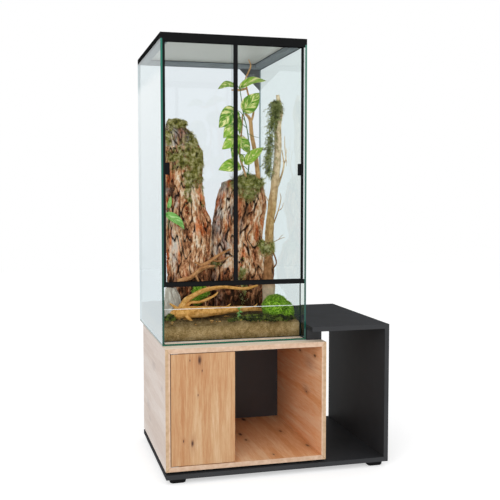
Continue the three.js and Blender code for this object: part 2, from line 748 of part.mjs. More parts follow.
const driftwood = (grow = 0) => planted(join(
  limb(
    [[88, 250, soilTop + 26], [130, 242, soilTop + 26], [190, 238, soilTop + 30], [290, 240, soilTop + 32],
      [400, 250, soilTop + 34], [478, 262, soilTop + 22]],
    [30, 25, 20, 17, 16, 10],
    { sides: 10, steps: 3, phase: 1, grow },
  ),
  limb([[112, 246, soilTop + 40], [160, 262, soilTop + 92], [215, 276, soilTop + 122], [345, 290, soilTop + 124],
    [458, 300, soilTop + 130]], [13, 10, 8, 7, 5], { steps: 3, grow }),
  limb([[130, 244, soilTop + 34], [165, 262, soilTop + 58], [230, 276, soilTop + 92], [268, 282, soilTop + 118]],
    [9, 7, 6, 5], { steps: 3, grow }),
  limb([[92, 250, soilTop + 40], [70, 240, soilTop + 22], [40, 234, soilTop + 12]], [16, 12, 8], { grow }),
));

// A root that climbs from the left slab's foot to the right slab.
const climbingRoot = (grow = 0) => planted(limb(
  [[120, 402, soilTop + 150], [175, 400, soilTop + 162], [228, 404, soilTop + 228], [308, 424, soilTop + 250],
    [366, 446, soilTop + 282]],
  [8, 9, 8, 7, 5],
  { steps: 4, grow },
));

const mossBall = (grow = 0) => planted(lump([512, 205, soilTop + 34], [72, 56, 60], { phase: 0.6, grow }));
const corkSlab = (grow = 0) => planted(barkSlab([
  [-rooted / 2, 46, 128],
  [40, 48, 130],
  [84, 50, 122],
  [128, 56, 104],
], 330, 14, { sides: 10, phase: 1.2, grow }));

const mossMat = () => planted(lump([400, 182, soilTop + 2], [128, 34, 18], { across: 14, bump: 0.12, phase: 2 }));
const mossTuft = (grow = 0) =>
  planted(lump([216, 400, soilTop + 96], [46, 32, 42], { across: 10, down: 7, phase: 3, grow }));
const slabMossLeft = () => planted(lump([158, 430, soilTop + 715], [80, 40, 150], { bump: 0.1, phase: 1.1 }));
const slabMossRight = (grow = 0) =>
  planted(lump([440, 478, soilTop + 588], [98, 42, 34], { bump: 0.12, phase: 0.2, grow }));
const hangingMoss = () => planted(limb(
  [[550, 288, soilTop + 925], [546, 284, soilTop + 860], [532, 284, soilTop + 760], [522, 286, soilTop + 650],
    [518, 288, soilTop + 600]],
  [12, 22, 20, 15, 5],
  { sides: 8, steps: 3, knob: 0.25 },
));

// A leaf: a thin pointed oval that runs from its base along the direction turn in the picture plane.
function leafBlade([x, y, z], length, width, turn, tilt) {
  const steps = 8;
  const half = Array.from({ length: steps - 1 }, (_, i) => {
    const t = (i + 1) / steps;
    return [length * t, (width / 2) * Math.sin(Math.PI * t ** 0.75)];
  });
  const edge = [[0, 0], ...half.map(([u, v]) => [u, -v]), [length, 0], ...half.reverse()];
  const blade = new THREE.ExtrudeGeometry(outline(edge), { depth: leafThickness, bevelEnabled: false });
  return blade.translate(-petioleRadius, 0, -leafThickness / 2)
    .rotateX(tilt).rotateZ(turn).rotateX(Math.PI / 2).translate(x, y, z);
}

// Leaves as base [x, y, z], length, width, turn and tilt; each hangs on a petiole from the stem.
const leaves = [
  [[372, 402, soilTop + 996], 76, 42, 3.02, 0.5],
  [[418, 398, soilTop + 1002], 100, 44, 0.36, 0.5],
  [[416, 392, soilTop + 898], 108, 72, 0.86, 0.25],
  [[384, 396, soilTop + 876], 96, 76, 3.9, 0.2],
  [[372, 392, soilTop + 808], 100, 74, 4.1, -0.3],
  [[362, 388, soilTop + 766], 98, 62, -0.75, 0.25],
  [[430, 394, soilTop + 680], 104, 46, 0.9, 0.4],
  [[382, 396, soilTop + 624], 84, 58, 3.0, 0.3],
  [[404, 390, soilTop + 682], 62, 46, 4.5, -0.3],
];

const vineStem = [
  [412, 470, soilTop + 600],
  [420, 428, soilTop + 650],
  [420, 404, soilTop + 710],
  [418, 400, soilTop + 800],
  [404, 400, soilTop + 900],
  [398, 400, soilTop + 1000],
];

function vineBody() {
  const stem = limb(vineStem, [4, 3.4, 3, 2.6, 2], { sides: 6, steps: 3, knob: 0 });
  const route = new THREE.CatmullRomCurve3(vineStem.map((p) => new THREE.Vector3(...p)), false, "centripetal");
  const marks = route.getPoints(80);
  const parts = [stem];
  for (const [base, length, width, turn, tilt] of leaves) {
    const root = base[2] - petioleDrop;
    const from = marks.reduce((best, p) => (Math.abs(p.z - root) < Math.abs(best.z - root) ? p : best));
    const [x, y, z] = base;
    const arch = [(from.x + x) / 2, (from.y + y) / 2 - 3, Math.max(from.z, z) + 2];
    const petiole = limb([from.toArray(), arch, base], [petioleRadius, petioleRadius, petioleRadius], {
      sides: 4,
      steps: 2,
      knob: 0,
    });
    parts.push(petiole, leafBlade(base, length, width, turn, tilt));
  }
  return planted(join(...parts));
}

// Two bare twigs that rise from the moss on the right slab.
const twigs = (grow = 0) => planted(join(
  limb([[500, 452, soilTop + 600], [484, 440, soilTop + 700], [464, 436, soilTop + 800], [458, 436, soilTop + 860]],
    [11, 10, 9, 7], { grow }),
  limb([[460, 436, soilTop + 846], [472, 438, soilTop + 890], [456, 438, soilTop + 960], [440, 438, soilTop + 1030],
    [452, 438, soilTop + 1090], [444, 438, soilTop + 1122]], [6, 5, 5, 4, 4, 3], { sides: 6, steps: 3, grow }),
  limb([[462, 436, soilTop + 840], [436, 436, soilTop + 880], [424, 436, soilTop + 890]], [6, 5, 4],
    { sides: 6, steps: 3, grow }),
));

function largest(geometry) {
  const parts = solid(geometry).decompose();
  return geometryOf(parts.reduce((best, part) => (part.volume() > best.volume() ? part : best)));
}

function buildPlanting() {
  const gap = seat;
  add("bark_slab_left", leftSlab(), bark);
  add("bark_slab_right", rightSlab(), bark);
  add("trunk", trunk(), paleWood);
  add("driftwood", driftwood(), paleWood);
  add("climbing_root", cut(climbingRoot(), leftSlab(gap), rightSlab(gap)), paleWood);
  add("cork_slab", cut(corkSlab(), driftwood(gap)), cork);
  add("moss_ball", largest(cut(mossBall(), trunk(gap), driftwood(gap))), moss);
  add("moss_tuft", largest(cut(mossTuft(), driftwood(gap), leftSlab(gap), corkSlab(gap))), moss);
  const stood = [leftSlab(gap), rightSlab(gap), trunk(gap), driftwood(gap), corkSlab(gap), mossBall(gap), mossTuft(gap)];
  add("soil", largest(cut(soilBed(), ...stood)), soil);
  add("moss_mat", largest(cut(mossMat(), soilBed(), driftwood(gap), mossBall(gap))), moss);
  add("slab_moss_left", largest(cut(slabMossLeft(), leftSlab(gap))), moss);
  add("slab_moss_right", largest(cut(slabMossRight(), rightSlab(gap))), moss);
  add("hanging_moss", largest(cut(hangingMoss(), trunk(gap))), moss);
  add("twigs", largest(cut(twigs(), slabMossRight(gap), rightSlab(gap))), paleWood);
  add("vine", largest(cut(vineBody(), slabMossRight(gap), rightSlab(gap), twigs(gap))), leaf);
}

buildCarcass();
buildCupboardDoor();
buildDoorFittings();
buildSurround();
buildFeet();
buildGlass();
buildCornerVent();
buildRails();
buildSlidingPanes();
buildTopFrame();
buildScreen();
buildPlanting();

export default root;
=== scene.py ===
"""The looks of the terrarium cabinet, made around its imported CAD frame. Metres in the frame, millimetres in the
planting's own measures, which run from the carcass's lower left front corner as the CAD source's do."""
import math
import random

import bpy
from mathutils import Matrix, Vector, noise


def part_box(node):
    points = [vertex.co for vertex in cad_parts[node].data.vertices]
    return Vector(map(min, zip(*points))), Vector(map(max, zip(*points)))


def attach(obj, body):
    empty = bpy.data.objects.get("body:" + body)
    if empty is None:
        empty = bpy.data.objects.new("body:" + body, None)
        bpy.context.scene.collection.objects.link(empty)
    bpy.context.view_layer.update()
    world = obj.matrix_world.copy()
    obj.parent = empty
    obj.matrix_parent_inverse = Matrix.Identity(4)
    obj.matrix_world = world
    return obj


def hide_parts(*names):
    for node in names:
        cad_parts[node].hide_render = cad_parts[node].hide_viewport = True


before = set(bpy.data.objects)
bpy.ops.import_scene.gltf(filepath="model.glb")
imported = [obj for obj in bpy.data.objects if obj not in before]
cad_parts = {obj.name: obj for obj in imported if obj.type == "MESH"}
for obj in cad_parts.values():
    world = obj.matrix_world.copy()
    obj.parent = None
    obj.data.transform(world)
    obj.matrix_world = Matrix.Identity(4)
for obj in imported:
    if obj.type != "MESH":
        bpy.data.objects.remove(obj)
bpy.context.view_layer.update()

CARCASS_CORNER = Vector((-0.470, -0.379, 0.049))
HALF_WIDTH, HALF_HEIGHT = 333, 245  # of the carcass's front
SOIL_TOP = 564  # above the carcass's underside
TANK_FLOOR = 498  # top of the bottom sheet
PANE_FRONT = 118  # front of the two recessed panes


def metres(x, y, z):
    """A point of the carcass's millimetres as a point of the frame."""
    return CARCASS_CORNER + Vector((x, y, z)) / 1000


# ---- Camera, lights and stage --------------------------------------------------------------------------------
def linear(code):
    """An sRGB hex value as a linear colour."""
    channels = [int(code[i : i + 2], 16) / 255 for i in (0, 2, 4)]
    return (*[c / 12.92 if c <= 0.04045 else ((c + 0.055) / 1.055) ** 2.4 for c in channels], 1.0)


def add_node(tree, kind, inputs=None, out=0, stops=None, **settings):
    """Adds a node with its settings and links, and returns the output that the next node takes."""
    made = tree.nodes.new("ShaderNode" + kind)
    for name, value in settings.items():
        setattr(made, name, value)
    for socket, value in (inputs or {}).items():
        if isinstance(value, bpy.types.NodeSocket):
            tree.links.new(value, made.inputs[socket])
        else:
            made.inputs[socket].default_value = value
    if stops:
        ramp = made.color_ramp.elements
        while len(ramp) < len(stops):
            ramp.new(0.5)
        for element, (position, code) in zip(ramp, stops):
            element.position = position
            element.color = linear(code)
    return made.outputs[out]


def new_material(name, surface=None):
    """A material with its main shader's plain values set: the material, its tree and the shader."""
    material = bpy.data.materials.new(name)
    material.use_nodes = True
    tree = material.node_tree
    shader = tree.nodes["Principled BSDF"]
    for socket, value in (surface or {}).items():
        shader.inputs[socket].default_value = value
    return material, tree, shader


def set_camera():
    """The camera that sees the cabinet's corners where the photograph has them."""
    data = bpy.data.cameras.new("camera")
    data.lens = 59.36
    data.sensor_width = 36
    camera = bpy.data.objects.new("camera", data)
    bpy.context.scene.collection.objects.link(camera)
    camera.location = metres(-492.6, -3154.7, 1092.6)
    camera.rotation_euler = (math.pi / 2 - 0.06726, 0, -0.25861)
    bpy.context.scene.camera = camera


def area_light(name, place, target, size, watts):
    """A square lamp that points at target and isn't mirrored itself."""
    data = bpy.data.lights.new(name, "AREA")
    data.size = size
    data.energy = watts
    light = bpy.data.objects.new(name, data)
    bpy.context.scene.collection.objects.link(light)
    light.location = place
    light.rotation_euler = (Vector(target) - Vector(place)).to_track_quat("-Z", "Y").to_euler()
    light.visible_glossy = False


def white_where_seen(tree):
    """1 for the rays that show the background: the camera's, and those that metal and glass send on."""
    seen = 0.0
    for kind in ("Is Camera Ray", "Is Glossy Ray", "Is Transmission Ray"):
        ray = add_node(tree, "LightPath", out=kind)
        seen = add_node(tree, "Math", {0: ray, 1: seen}, operation="MAXIMUM")
    return seen


def set_studio():
    """A white world that lights the cabinet evenly, two lamps, and a floor of white paper."""
    world = bpy.data.worlds.new("studio")
    bpy.context.scene.world = world
    world.use_nodes = True
    tree = world.node_tree
    background = tree.nodes["Background"]
    background.inputs["Color"].default_value = (1, 1, 1, 1)
    seen = white_where_seen(tree)
    strength = add_node(tree, "MapRange", {"Value": seen, "To Min": 0.72, "To Max": 1.0})
    tree.links.new(strength, background.inputs["Strength"])
    area_light("key_light", (-2.2, -3.6, 2.3), (0, 0, 0.7), 2.2, 74)
    area_light("fill_light", (2.6, -2.6, 2.0), (0, 0, 0.7), 2.4, 22)

    points = [(-9, -9, 0), (9, -9, 0), (9, 9, 0), (-9, 9, 0)]
    mesh = bpy.data.meshes.new("floor")
    mesh.from_pydata(points, [], [(0, 1, 2, 3)])
    floor = bpy.data.objects.new("floor", mesh)
    bpy.context.scene.collection.objects.link(floor)
    surface = {"Roughness": 0.9, "Specular IOR Level": 0.1}
    surface |= {"Base Color": linear("d6d6d6"), "Emission Color": (1, 1, 1, 1)}
    paper, tree, shader = new_material("white_studio_paper", surface)
    # The paper glows a little for what sees it, so that it is white and keeps the cabinet's shadow.
    glow = add_node(tree, "Math", {0: white_where_seen(tree), 1: 0.52}, operation="MULTIPLY")
    tree.links.new(glow, shader.inputs["Emission Strength"])
    mesh.materials.append(paper)


# ---- Materials -----------------------------------------------------------------------------------------------
COLOURS = {"out": 2, "data_type": "RGBA"}  # a Mix node of colours: input 0 is the share, 6 and 7 are what it mixes


def coat(tree, shader, colour, height, depth_mm):
    """Gives the shader its colour, and a relief depth_mm deep that follows height."""
    tree.links.new(colour, shader.inputs["Base Color"])
    bump = add_node(tree, "Bump", {"Height": height, "Distance": depth_mm / 1000, "Strength": 1.0})
    tree.links.new(bump, shader.inputs["Normal"])


def even_gloss(tree, shader, share, roughness):
    """Mixes in a dull shine that is as strong at a low angle as it is straight on, as a coarse black surface has."""
    shine = add_node(tree, "BsdfAnisotropic", {"Color": (1, 1, 1, 1), "Roughness": roughness})
    whole = add_node(tree, "MixShader", {0: share, 1: shader.outputs[0], 2: shine})
    tree.links.new(whole, tree.nodes["Material Output"].inputs["Surface"])


OAK = [(0.34, "b67c4e"), (0.46, "c99466"), (0.56, "d6ac82"), (0.7, "e6c7a4")]
DOOR_OAK = [(0.34, "ab7246"), (0.46, "bd885b"), (0.56, "cba176"), (0.7, "dfc09d")]
FLOOR_OAK = [(0.34, "cb8a56"), (0.46, "dca271"), (0.56, "e8bb90"), (0.7, "f3d5b4")]
# Painted light: the next three copies of the oak are paler. The bay's wall and the top board under the glass are
# painted brighter against the shade they lie in, and the left side is painted pale for the sheen it shows at a low
# angle.
LIT_WALL_OAK = [(0.34, "dc9058"), (0.46, "edac78"), (0.56, "f6c59c"), (0.7, "fcdebf")]
LIT_TOP_OAK = [(0.34, "f4d6b4"), (0.46, "fae4ca"), (0.56, "fcecda"), (0.7, "fef4e8")]
SHEEN_SIDE_OAK = [(0.34, "c9b2a2"), (0.46, "d5c1b3"), (0.56, "decdc1"), (0.7, "e8dcd3")]


def knotty_oak_laminate(name, grain, knots=(), stops=OAK, banded=True, smears=()):
    """Printed oak decor under a satin film: soft staves, fine fibres and dark knots that the grain flows round.
    grain is the axis that it runs along. Each knot, or grey smear with no knot in it, is (x, y, z, width) in
    millimetres."""
    material, tree, shader = new_material(name, {"Roughness": 0.4, "Specular IOR Level": 0.45})
    place = add_node(tree, "TexCoord", out="Object")
    along = [18.0, 18.0, 18.0]
    along["xyz".index(grain)] = 1.1
    stretched = add_node(tree, "VectorMath", {0: place, 1: along}, operation="MULTIPLY")

    def distance_to(marks):
        """How far it is to the nearest mark, in its widths, with more reach along the grain."""
        nearest = 9.0
        for x, y, z, width in marks:
            reach = [1000 / width] * 3
            reach["xyz".index(grain)] /= 2.6
            offset = add_node(tree, "VectorMath", {0: place, 1: metres(x, y, z)}, operation="SUBTRACT")
            scaled = add_node(tree, "VectorMath", {0: offset, 1: reach}, operation="MULTIPLY")
            distance = add_node(tree, "VectorMath", {0: scaled}, out="Value", operation="LENGTH")
            nearest = add_node(tree, "Math", {0: distance, 1: nearest}, operation="MINIMUM")
        return nearest

    halo = distance_to(knots)
    # Staves about 60 mm wide.
    staves = add_node(tree, "TexNoise", {"Vector": stretched, "Scale": 0.9, "Detail": 3.0, "Roughness": 0.5})
    # Growth rings follow the staves, and bulge round a knot.
    bulge = 0.0
    if knots:
        squared = add_node(tree, "Math", {0: halo, 1: halo}, operation="MULTIPLY")
        faded = add_node(tree, "Math", {0: squared, 1: -0.22}, operation="MULTIPLY")
        bulge = add_node(tree, "Math", {0: math.e, 1: faded}, operation="POWER")
    phase = add_node(tree, "Math", {0: bulge, 1: 4.5}, operation="MULTIPLY")
    turned = add_node(tree, "Math", {0: staves, 1: 44.0, 2: phase}, operation="MULTIPLY_ADD")
    rings = add_node(tree, "Math", {0: turned}, operation="SINE")
    # Fibres 1.5 mm wide, drawn at 3 mm so that they show.
    fibres = add_node(tree, "TexNoise", {"Vector": stretched, "Scale": 14.0, "Detail": 5.0, "Roughness": 0.7})
    soft = add_node(tree, "Math", {0: staves, 1: 0.5, 2: 0.05}, operation="MULTIPLY_ADD")
    tone = add_node(tree, "Math", {0: rings, 1: 0.025, 2: soft}, operation="MULTIPLY_ADD")
    mixed = add_node(tree, "Math", {0: fibres, 1: 0.42, 2: tone}, operation="MULTIPLY_ADD")
    colour = add_node(tree, "ValToRGB", {0: mixed}, stops=stops)
    if knots:
        ragged = add_node(tree, "Math", {0: fibres, 1: 0.7, 2: halo}, operation="MULTIPLY_ADD")
        dark = add_node(tree, "MapRange", {"Value": ragged, "From Min": 1.15, "From Max": 0.6})
        shade = add_node(tree, "MapRange", {"Value": halo, "From Min": 2.6, "From Max": 0.6, "To Max": 0.3})
        colour = add_node(tree, "Mix", {0: shade, 6: colour, 7: linear("9a6a48")}, **COLOURS)
        colour = add_node(tree, "Mix", {0: dark, 6: colour, 7: linear("4d2c1c")}, **COLOURS)
    if smears:
        faint = add_node(tree, "Math", {0: fibres, 1: 1.6, 2: distance_to(smears)}, operation="MULTIPLY_ADD")
        grey = add_node(tree, "MapRange", {"Value": faint, "From Min": 2.1, "From Max": 0.7, "To Max": 0.4})
        colour = add_node(tree, "Mix", {0: grey, 6: colour, 7: linear("8f7b78")}, **COLOURS)
    if banded:
        facing = add_node(tree, "TexCoord", out="Normal")
        front = add_node(tree, "SeparateXYZ", {0: facing}, out="Y")
        edge = add_node(tree, "Math", {0: front, 1: -0.9}, operation="LESS_THAN")
        speckle = add_node(tree, "TexNoise", {"Vector": place, "Scale": 60.0, "Detail": 5.0})
        band = add_node(tree, "ValToRGB", {0: speckle}, stops=[(0.3, "cba88a"), (0.7, "e1c3aa")])
        rounded = add_node(tree, "ValToRGB", {0: speckle}, stops=[(0.3, "bc9b78"), (0.7, "d4b592")])
        # The boards' mitres, fine seams drawn 1.6 mm wide so that they show.
        middle = metres(HALF_WIDTH, 0, HALF_HEIGHT)
        off = add_node(tree, "VectorMath", {0: place, 1: middle}, operation="SUBTRACT")
        away = add_node(tree, "VectorMath", {0: off}, operation="ABSOLUTE")
        across, up = [add_node(tree, "SeparateXYZ", {0: away}, out=axis) for axis in "XZ"]
        # The outer 13 mm of each upright board's edge is drawn darker.
        outer = add_node(tree, "Math", {0: across, 1: (HALF_WIDTH - 13) / 1000}, operation="GREATER_THAN")
        band = add_node(tree, "Mix", {0: outer, 6: band, 7: rounded}, **COLOURS)
        beside = add_node(tree, "Math", {0: across, 1: up}, operation="SUBTRACT")
        mitre = (HALF_WIDTH - HALF_HEIGHT) / 1000
        half_seam = 0.8 / 1000
        seam = add_node(tree, "Math", {0: beside, 1: mitre, 2: half_seam}, operation="COMPARE")
        band = add_node(tree, "Mix", {0: seam, 6: band, 7: linear("9c7c5c")}, **COLOURS)
        colour = add_node(tree, "Mix", {0: edge, 6: colour, 7: band}, **COLOURS)
    sheen = add_node(tree, "MapRange", {"Value": fibres, "To Min": 0.34, "To Max": 0.5})
    tree.links.new(sheen, shader.inputs["Roughness"])
    coat(tree, shader, colour, fibres, 0.06)
    return material


def anthracite_laminate(name, dark="28292b", pale="2f3033"):
    """Melamine-faced board with a fine pearl texture: matt, with a faint mottle from dark to pale."""
    material, tree, shader = new_material(name, {"Roughness": 0.6, "Specular IOR Level": 0.0})
    place = add_node(tree, "TexCoord", out="Object")
    # The pearl texture's grains are 1 mm wide, drawn at 2 mm.
    pearl = add_node(tree, "TexNoise", {"Vector": place, "Scale": 480.0, "Detail": 2.0})
    cloud = add_node(tree, "TexNoise", {"Vector": place, "Scale": 9.0, "Detail": 4.0})
    mottle = add_node(tree, "Math", {0: pearl, 1: 0.4, 2: cloud}, operation="MULTIPLY_ADD")
    light = add_node(tree, "MapRange", {"Value": mottle, "From Min": 0.4, "From Max": 1.0})
    colour = add_node(tree, "Mix", {0: light, 6: linear(dark), 7: linear(pale)}, **COLOURS)
    coat(tree, shader, colour, pearl, 0.08)
    even_gloss(tree, shader, 0.028, 0.5)
    return material


def fine_grained_plastic(name, code="101011"):
    """Injection-moulded ABS with a fine spark-eroded grain that dulls its gloss, or cured silicone, as dull."""
    material, tree, shader = new_material(name, {"Roughness": 0.5, "Specular IOR Level": 0.0})
    place = add_node(tree, "TexCoord", out="Object")
    # The real grain is about 0.1 mm wide, and it is drawn at 1 mm so that it breaks up the gloss in the render.
    grain = add_node(tree, "TexNoise", {"Vector": place, "Scale": 900.0, "Detail": 2.0})
    colour = add_node(tree, "MapRange", {"Value": grain, "To Min": 0.8, "To Max": 1.25})
    shaded = add_node(tree, "Mix", {0: 1.0, 6: linear(code), 7: colour}, **COLOURS, blend_type="MULTIPLY")
    coat(tree, shader, shaded, grain, 0.04)
    even_gloss(tree, shader, 0.008, 0.4)
    return material


def powder_coated_aluminium(name, inward=None):
    """Powder coat on extruded aluminium: black, with an orange peel 2 mm wide that breaks up its highlights. A
    frame bar's underside and the side that looks inward show grey anodising behind the glass."""
    material, tree, shader = new_material(name, {"Roughness": 0.38, "Specular IOR Level": 0.0})
    place = add_node(tree, "TexCoord", out="Object")
    peel = add_node(tree, "TexNoise", {"Vector": place, "Scale": 500.0, "Detail": 1.0})
    colour = add_node(tree, "ValToRGB", {0: peel}, stops=[(0.3, "090a0a"), (0.8, "121314")])
    if inward:
        facing = add_node(tree, "TexCoord", out="Normal")
        turned = add_node(tree, "VectorMath", {0: facing, 1: inward}, out="Value", operation="DOT_PRODUCT")
        inside = add_node(tree, "Math", {0: turned, 1: 0.6}, operation="GREATER_THAN")
        grey = add_node(tree, "ValToRGB", {0: peel}, stops=[(0.3, "99a1a5"), (0.8, "a9b0b3")])
        colour = add_node(tree, "Mix", {0: inside, 6: colour, 7: grey}, **COLOURS)
    coat(tree, shader, colour, peel, 0.05)
    even_gloss(tree, shader, 0.008, add_node(tree, "MapRange", {"Value": peel, "To Min": 0.3, "To Max": 0.46}))
    return material


def brushed_steel(name, code):
    """Drawn and brushed metal: fine scratches spread its highlights one way."""
    material, tree, shader = new_material(name, {"Metallic": 1.0, "Roughness": 0.36})
    place = add_node(tree, "TexCoord", out="Object")
    # Scratches of 0.1 mm, drawn 1.4 mm wide and 18 mm long so that they show.
    drawn = add_node(tree, "VectorMath", {0: place, 1: (1.0, 1.0, 0.08)}, operation="MULTIPLY")
    scratches = add_node(tree, "TexNoise", {"Vector": drawn, "Scale": 700.0, "Detail": 2.0})
    shade = add_node(tree, "MapRange", {"Value": scratches, "To Min": 0.75, "To Max": 1.1})
    colour = add_node(tree, "Mix", {0: 1.0, 6: linear(code), 7: shade}, **COLOURS, blend_type="MULTIPLY")
    tree.links.new(colour, shader.inputs["Base Color"])
    rough = add_node(tree, "MapRange", {"Value": scratches, "To Min": 0.28, "To Max": 0.5})
    tree.links.new(rough, shader.inputs["Roughness"])
    return material


def float_glass(
    name, across, edge_low, edge_high, outer=0, inner_gloss=0.0, tint="f7fafb", shine=0.8, bends=False
):
    """Clear float glass: faces that let nearly all through, and cut edges whose iron shows as green, from edge_low
    near the floor to edge_high near the top. across is the axis through the sheet. outer is the sign of the face
    that mirrors the pale studio at a low angle, or 0. shine is the faces' own share of mirror at the lowest angle,
    and inner_gloss their share at any angle. A sheet that bends the view shows what lies right under it."""
    material, tree, shader = new_material(name, {"Roughness": 0.12, "Specular IOR Level": 0.5})
    place = add_node(tree, "TexCoord", out="Object")
    height = add_node(tree, "SeparateXYZ", {0: place}, out="Z")
    facing = add_node(tree, "TexCoord", out="Normal")
    through = add_node(tree, "SeparateXYZ", {0: facing}, out=across.upper())
    straight = add_node(tree, "Math", {0: through}, operation="ABSOLUTE")
    edge = add_node(tree, "Math", {0: straight, 1: 0.5}, operation="LESS_THAN")
    # The sheet's two faces work as one thin film.
    glance = add_node(tree, "LayerWeight", {"Blend": 0.5}, out="Facing")
    steep = add_node(tree, "Math", {0: glance, 1: 5.0}, operation="POWER")
    mirror = add_node(tree, "Math", {0: steep, 1: shine, 2: inner_gloss}, operation="MULTIPLY_ADD")
    if outer:
        low = add_node(tree, "Math", {0: glance, 1: 1.3}, operation="POWER")
        side = add_node(tree, "Math", {0: through, 1: outer}, operation="MULTIPLY")
        outward = add_node(tree, "Math", {0: side, 1: 0.5}, operation="GREATER_THAN")
        strong = add_node(tree, "Math", {0: low, 1: outward}, operation="MULTIPLY")
        # The studio that the face mirrors is dark above the cabinet, so the screen shows through its upper part.
        dim = add_node(
            tree, "MapRange", {"Value": height, "From Min": 1.6, "From Max": 1.66, "To Min": 1.0, "To Max": 0.3}
        )
        strong = add_node(tree, "Math", {0: strong, 1: dim}, operation="MULTIPLY")
        mirror = add_node(tree, "Math", {0: strong, 1: mirror}, operation="MAXIMUM")
    leaving = add_node(tree, "NewGeometry", out="Backfacing")
    entering = add_node(tree, "Math", {0: 1.0, 1: leaving}, operation="SUBTRACT")
    mirror = add_node(tree, "Math", {0: mirror, 1: entering}, operation="MULTIPLY")
    rise = add_node(tree, "MapRange", {"Value": height, "From Min": 0.75, "From Max": 1.6})
    clear = add_node(tree, "BsdfTransparent", {"Color": linear(tint)})
    if bends:
        bent = add_node(tree, "BsdfRefraction", {"Color": linear(tint), "Roughness": 0.0, "IOR": 1.52})
        lighting = add_node(tree, "LightPath", out="Is Shadow Ray")
        clear = add_node(tree, "MixShader", {0: lighting, 1: bent, 2: clear})
    # Painted shade: the faces' mirror tint and the edges' green are darker near the floor and paler near the top.
    pale = add_node(tree, "Mix", {0: rise, 6: linear("dbe4e7"), 7: linear("f1f6f7")}, **COLOURS)
    gloss = add_node(tree, "BsdfAnisotropic", {"Color": pale, "Roughness": 0.03})
    sheet = add_node(tree, "MixShader", {0: mirror, 1: clear, 2: gloss})
    green = add_node(tree, "Mix", {0: rise, 6: linear(edge_low), 7: linear(edge_high)}, **COLOURS)
    # An edge that shows through its own sheet, from the far side, is pale.
    green = add_node(tree, "Mix", {0: leaving, 6: green, 7: linear("b4c4c6")}, **COLOURS)
    tree.links.new(green, shader.inputs["Base Color"])
    # Light gets through an edge, so that it throws no hard shadow.
    passing = add_node(tree, "LightPath", out="Is Shadow Ray")
    stopped = add_node(tree, "Math", {0: passing, 1: -0.85, 2: 1.0}, operation="MULTIPLY_ADD")
    solid = add_node(tree, "Math", {0: edge, 1: stopped}, operation="MULTIPLY")
    whole = add_node(tree, "MixShader", {0: solid, 1: sheet, 2: shader.outputs[0]})
    tree.links.new(whole, tree.nodes["Material Output"].inputs["Surface"])
    return material


def potting_soil(name):
    """Loose coir and sand: brown crumbs of 2 to 6 mm, with darker bits and pale fibres."""
    material, tree, shader = new_material(name, {"Roughness": 0.95, "Specular IOR Level": 0.15})
    place = add_node(tree, "TexCoord", out="Object")
    # Crumbs 3 mm wide, on patches of 40 mm.
    crumbs = add_node(tree, "TexVoronoi", {"Vector": place, "Scale": 300.0}, out="Color")
    shade = add_node(tree, "SeparateColor", {0: crumbs})
    cloud = add_node(tree, "TexNoise", {"Vector": place, "Scale": 26.0, "Detail": 8.0, "Roughness": 0.72})
    tone = add_node(tree, "Math", {0: shade, 1: 0.16, 2: cloud}, operation="MULTIPLY_ADD")
    colour = add_node(
        tree, "ValToRGB", {0: tone},
        stops=[(0.36, "6a552f"), (0.52, "8d754a"), (0.66, "a99063"), (0.86, "c2ab82")],
    )
    # Dark bits 7 mm wide.
    specks = add_node(tree, "TexNoise", {"Vector": place, "Scale": 150.0, "Detail": 2.0})
    dark = add_node(tree, "MapRange", {"Value": specks, "From Min": 0.68, "From Max": 0.73})
    colour = add_node(tree, "Mix", {0: dark, 6: colour, 7: linear("3d2f1e")}, **COLOURS)
    # Painted shadow: its top is darker behind the driftwood, where the log shades it, and less so towards the rear.
    # Against the panes it is paler low down and darker near the brim.
    back, up = [add_node(tree, "SeparateXYZ", {0: place}, out=axis) for axis in "YZ"]
    open_air, shaded, behind, rear = [metres(0, y, 0).y for y in (140, 235, 430, 560)]
    shade_behind_log = add_node(tree, "MapRange", {"Value": back, "From Min": open_air, "From Max": shaded, "To Max": 0.7})
    shade_fades_back = add_node(
        tree, "MapRange", {"Value": back, "From Min": behind, "From Max": rear, "To Min": 1.0, "To Max": 0.3}
    )
    facing = add_node(tree, "TexCoord", out="Normal")
    upward = add_node(tree, "SeparateXYZ", {0: facing}, out="Z")
    top = add_node(tree, "MapRange", {"Value": upward, "From Min": 0.35, "From Max": 0.7})
    shade_reach = add_node(tree, "Math", {0: shade_behind_log, 1: shade_fades_back}, operation="MULTIPLY")
    painted_shade = add_node(tree, "Math", {0: shade_reach, 1: top}, operation="MULTIPLY")
    foot, brim = [metres(0, 0, z).z for z in (TANK_FLOOR, SOIL_TOP + 6)]
    paler_low = add_node(tree, "MapRange", {"Value": up, "From Min": foot, "From Max": brim, "To Min": 1.3, "To Max": 0.68})
    light = add_node(tree, "Math", {0: 1.0, 1: painted_shade}, operation="SUBTRACT")
    share = add_node(tree, "Math", {0: light, 1: paler_low}, operation="MULTIPLY")
    colour = add_node(tree, "Mix", {0: 1.0, 6: colour, 7: share}, **COLOURS, blend_type="MULTIPLY")
    coat(tree, shader, colour, tone, 1.2)
    return material


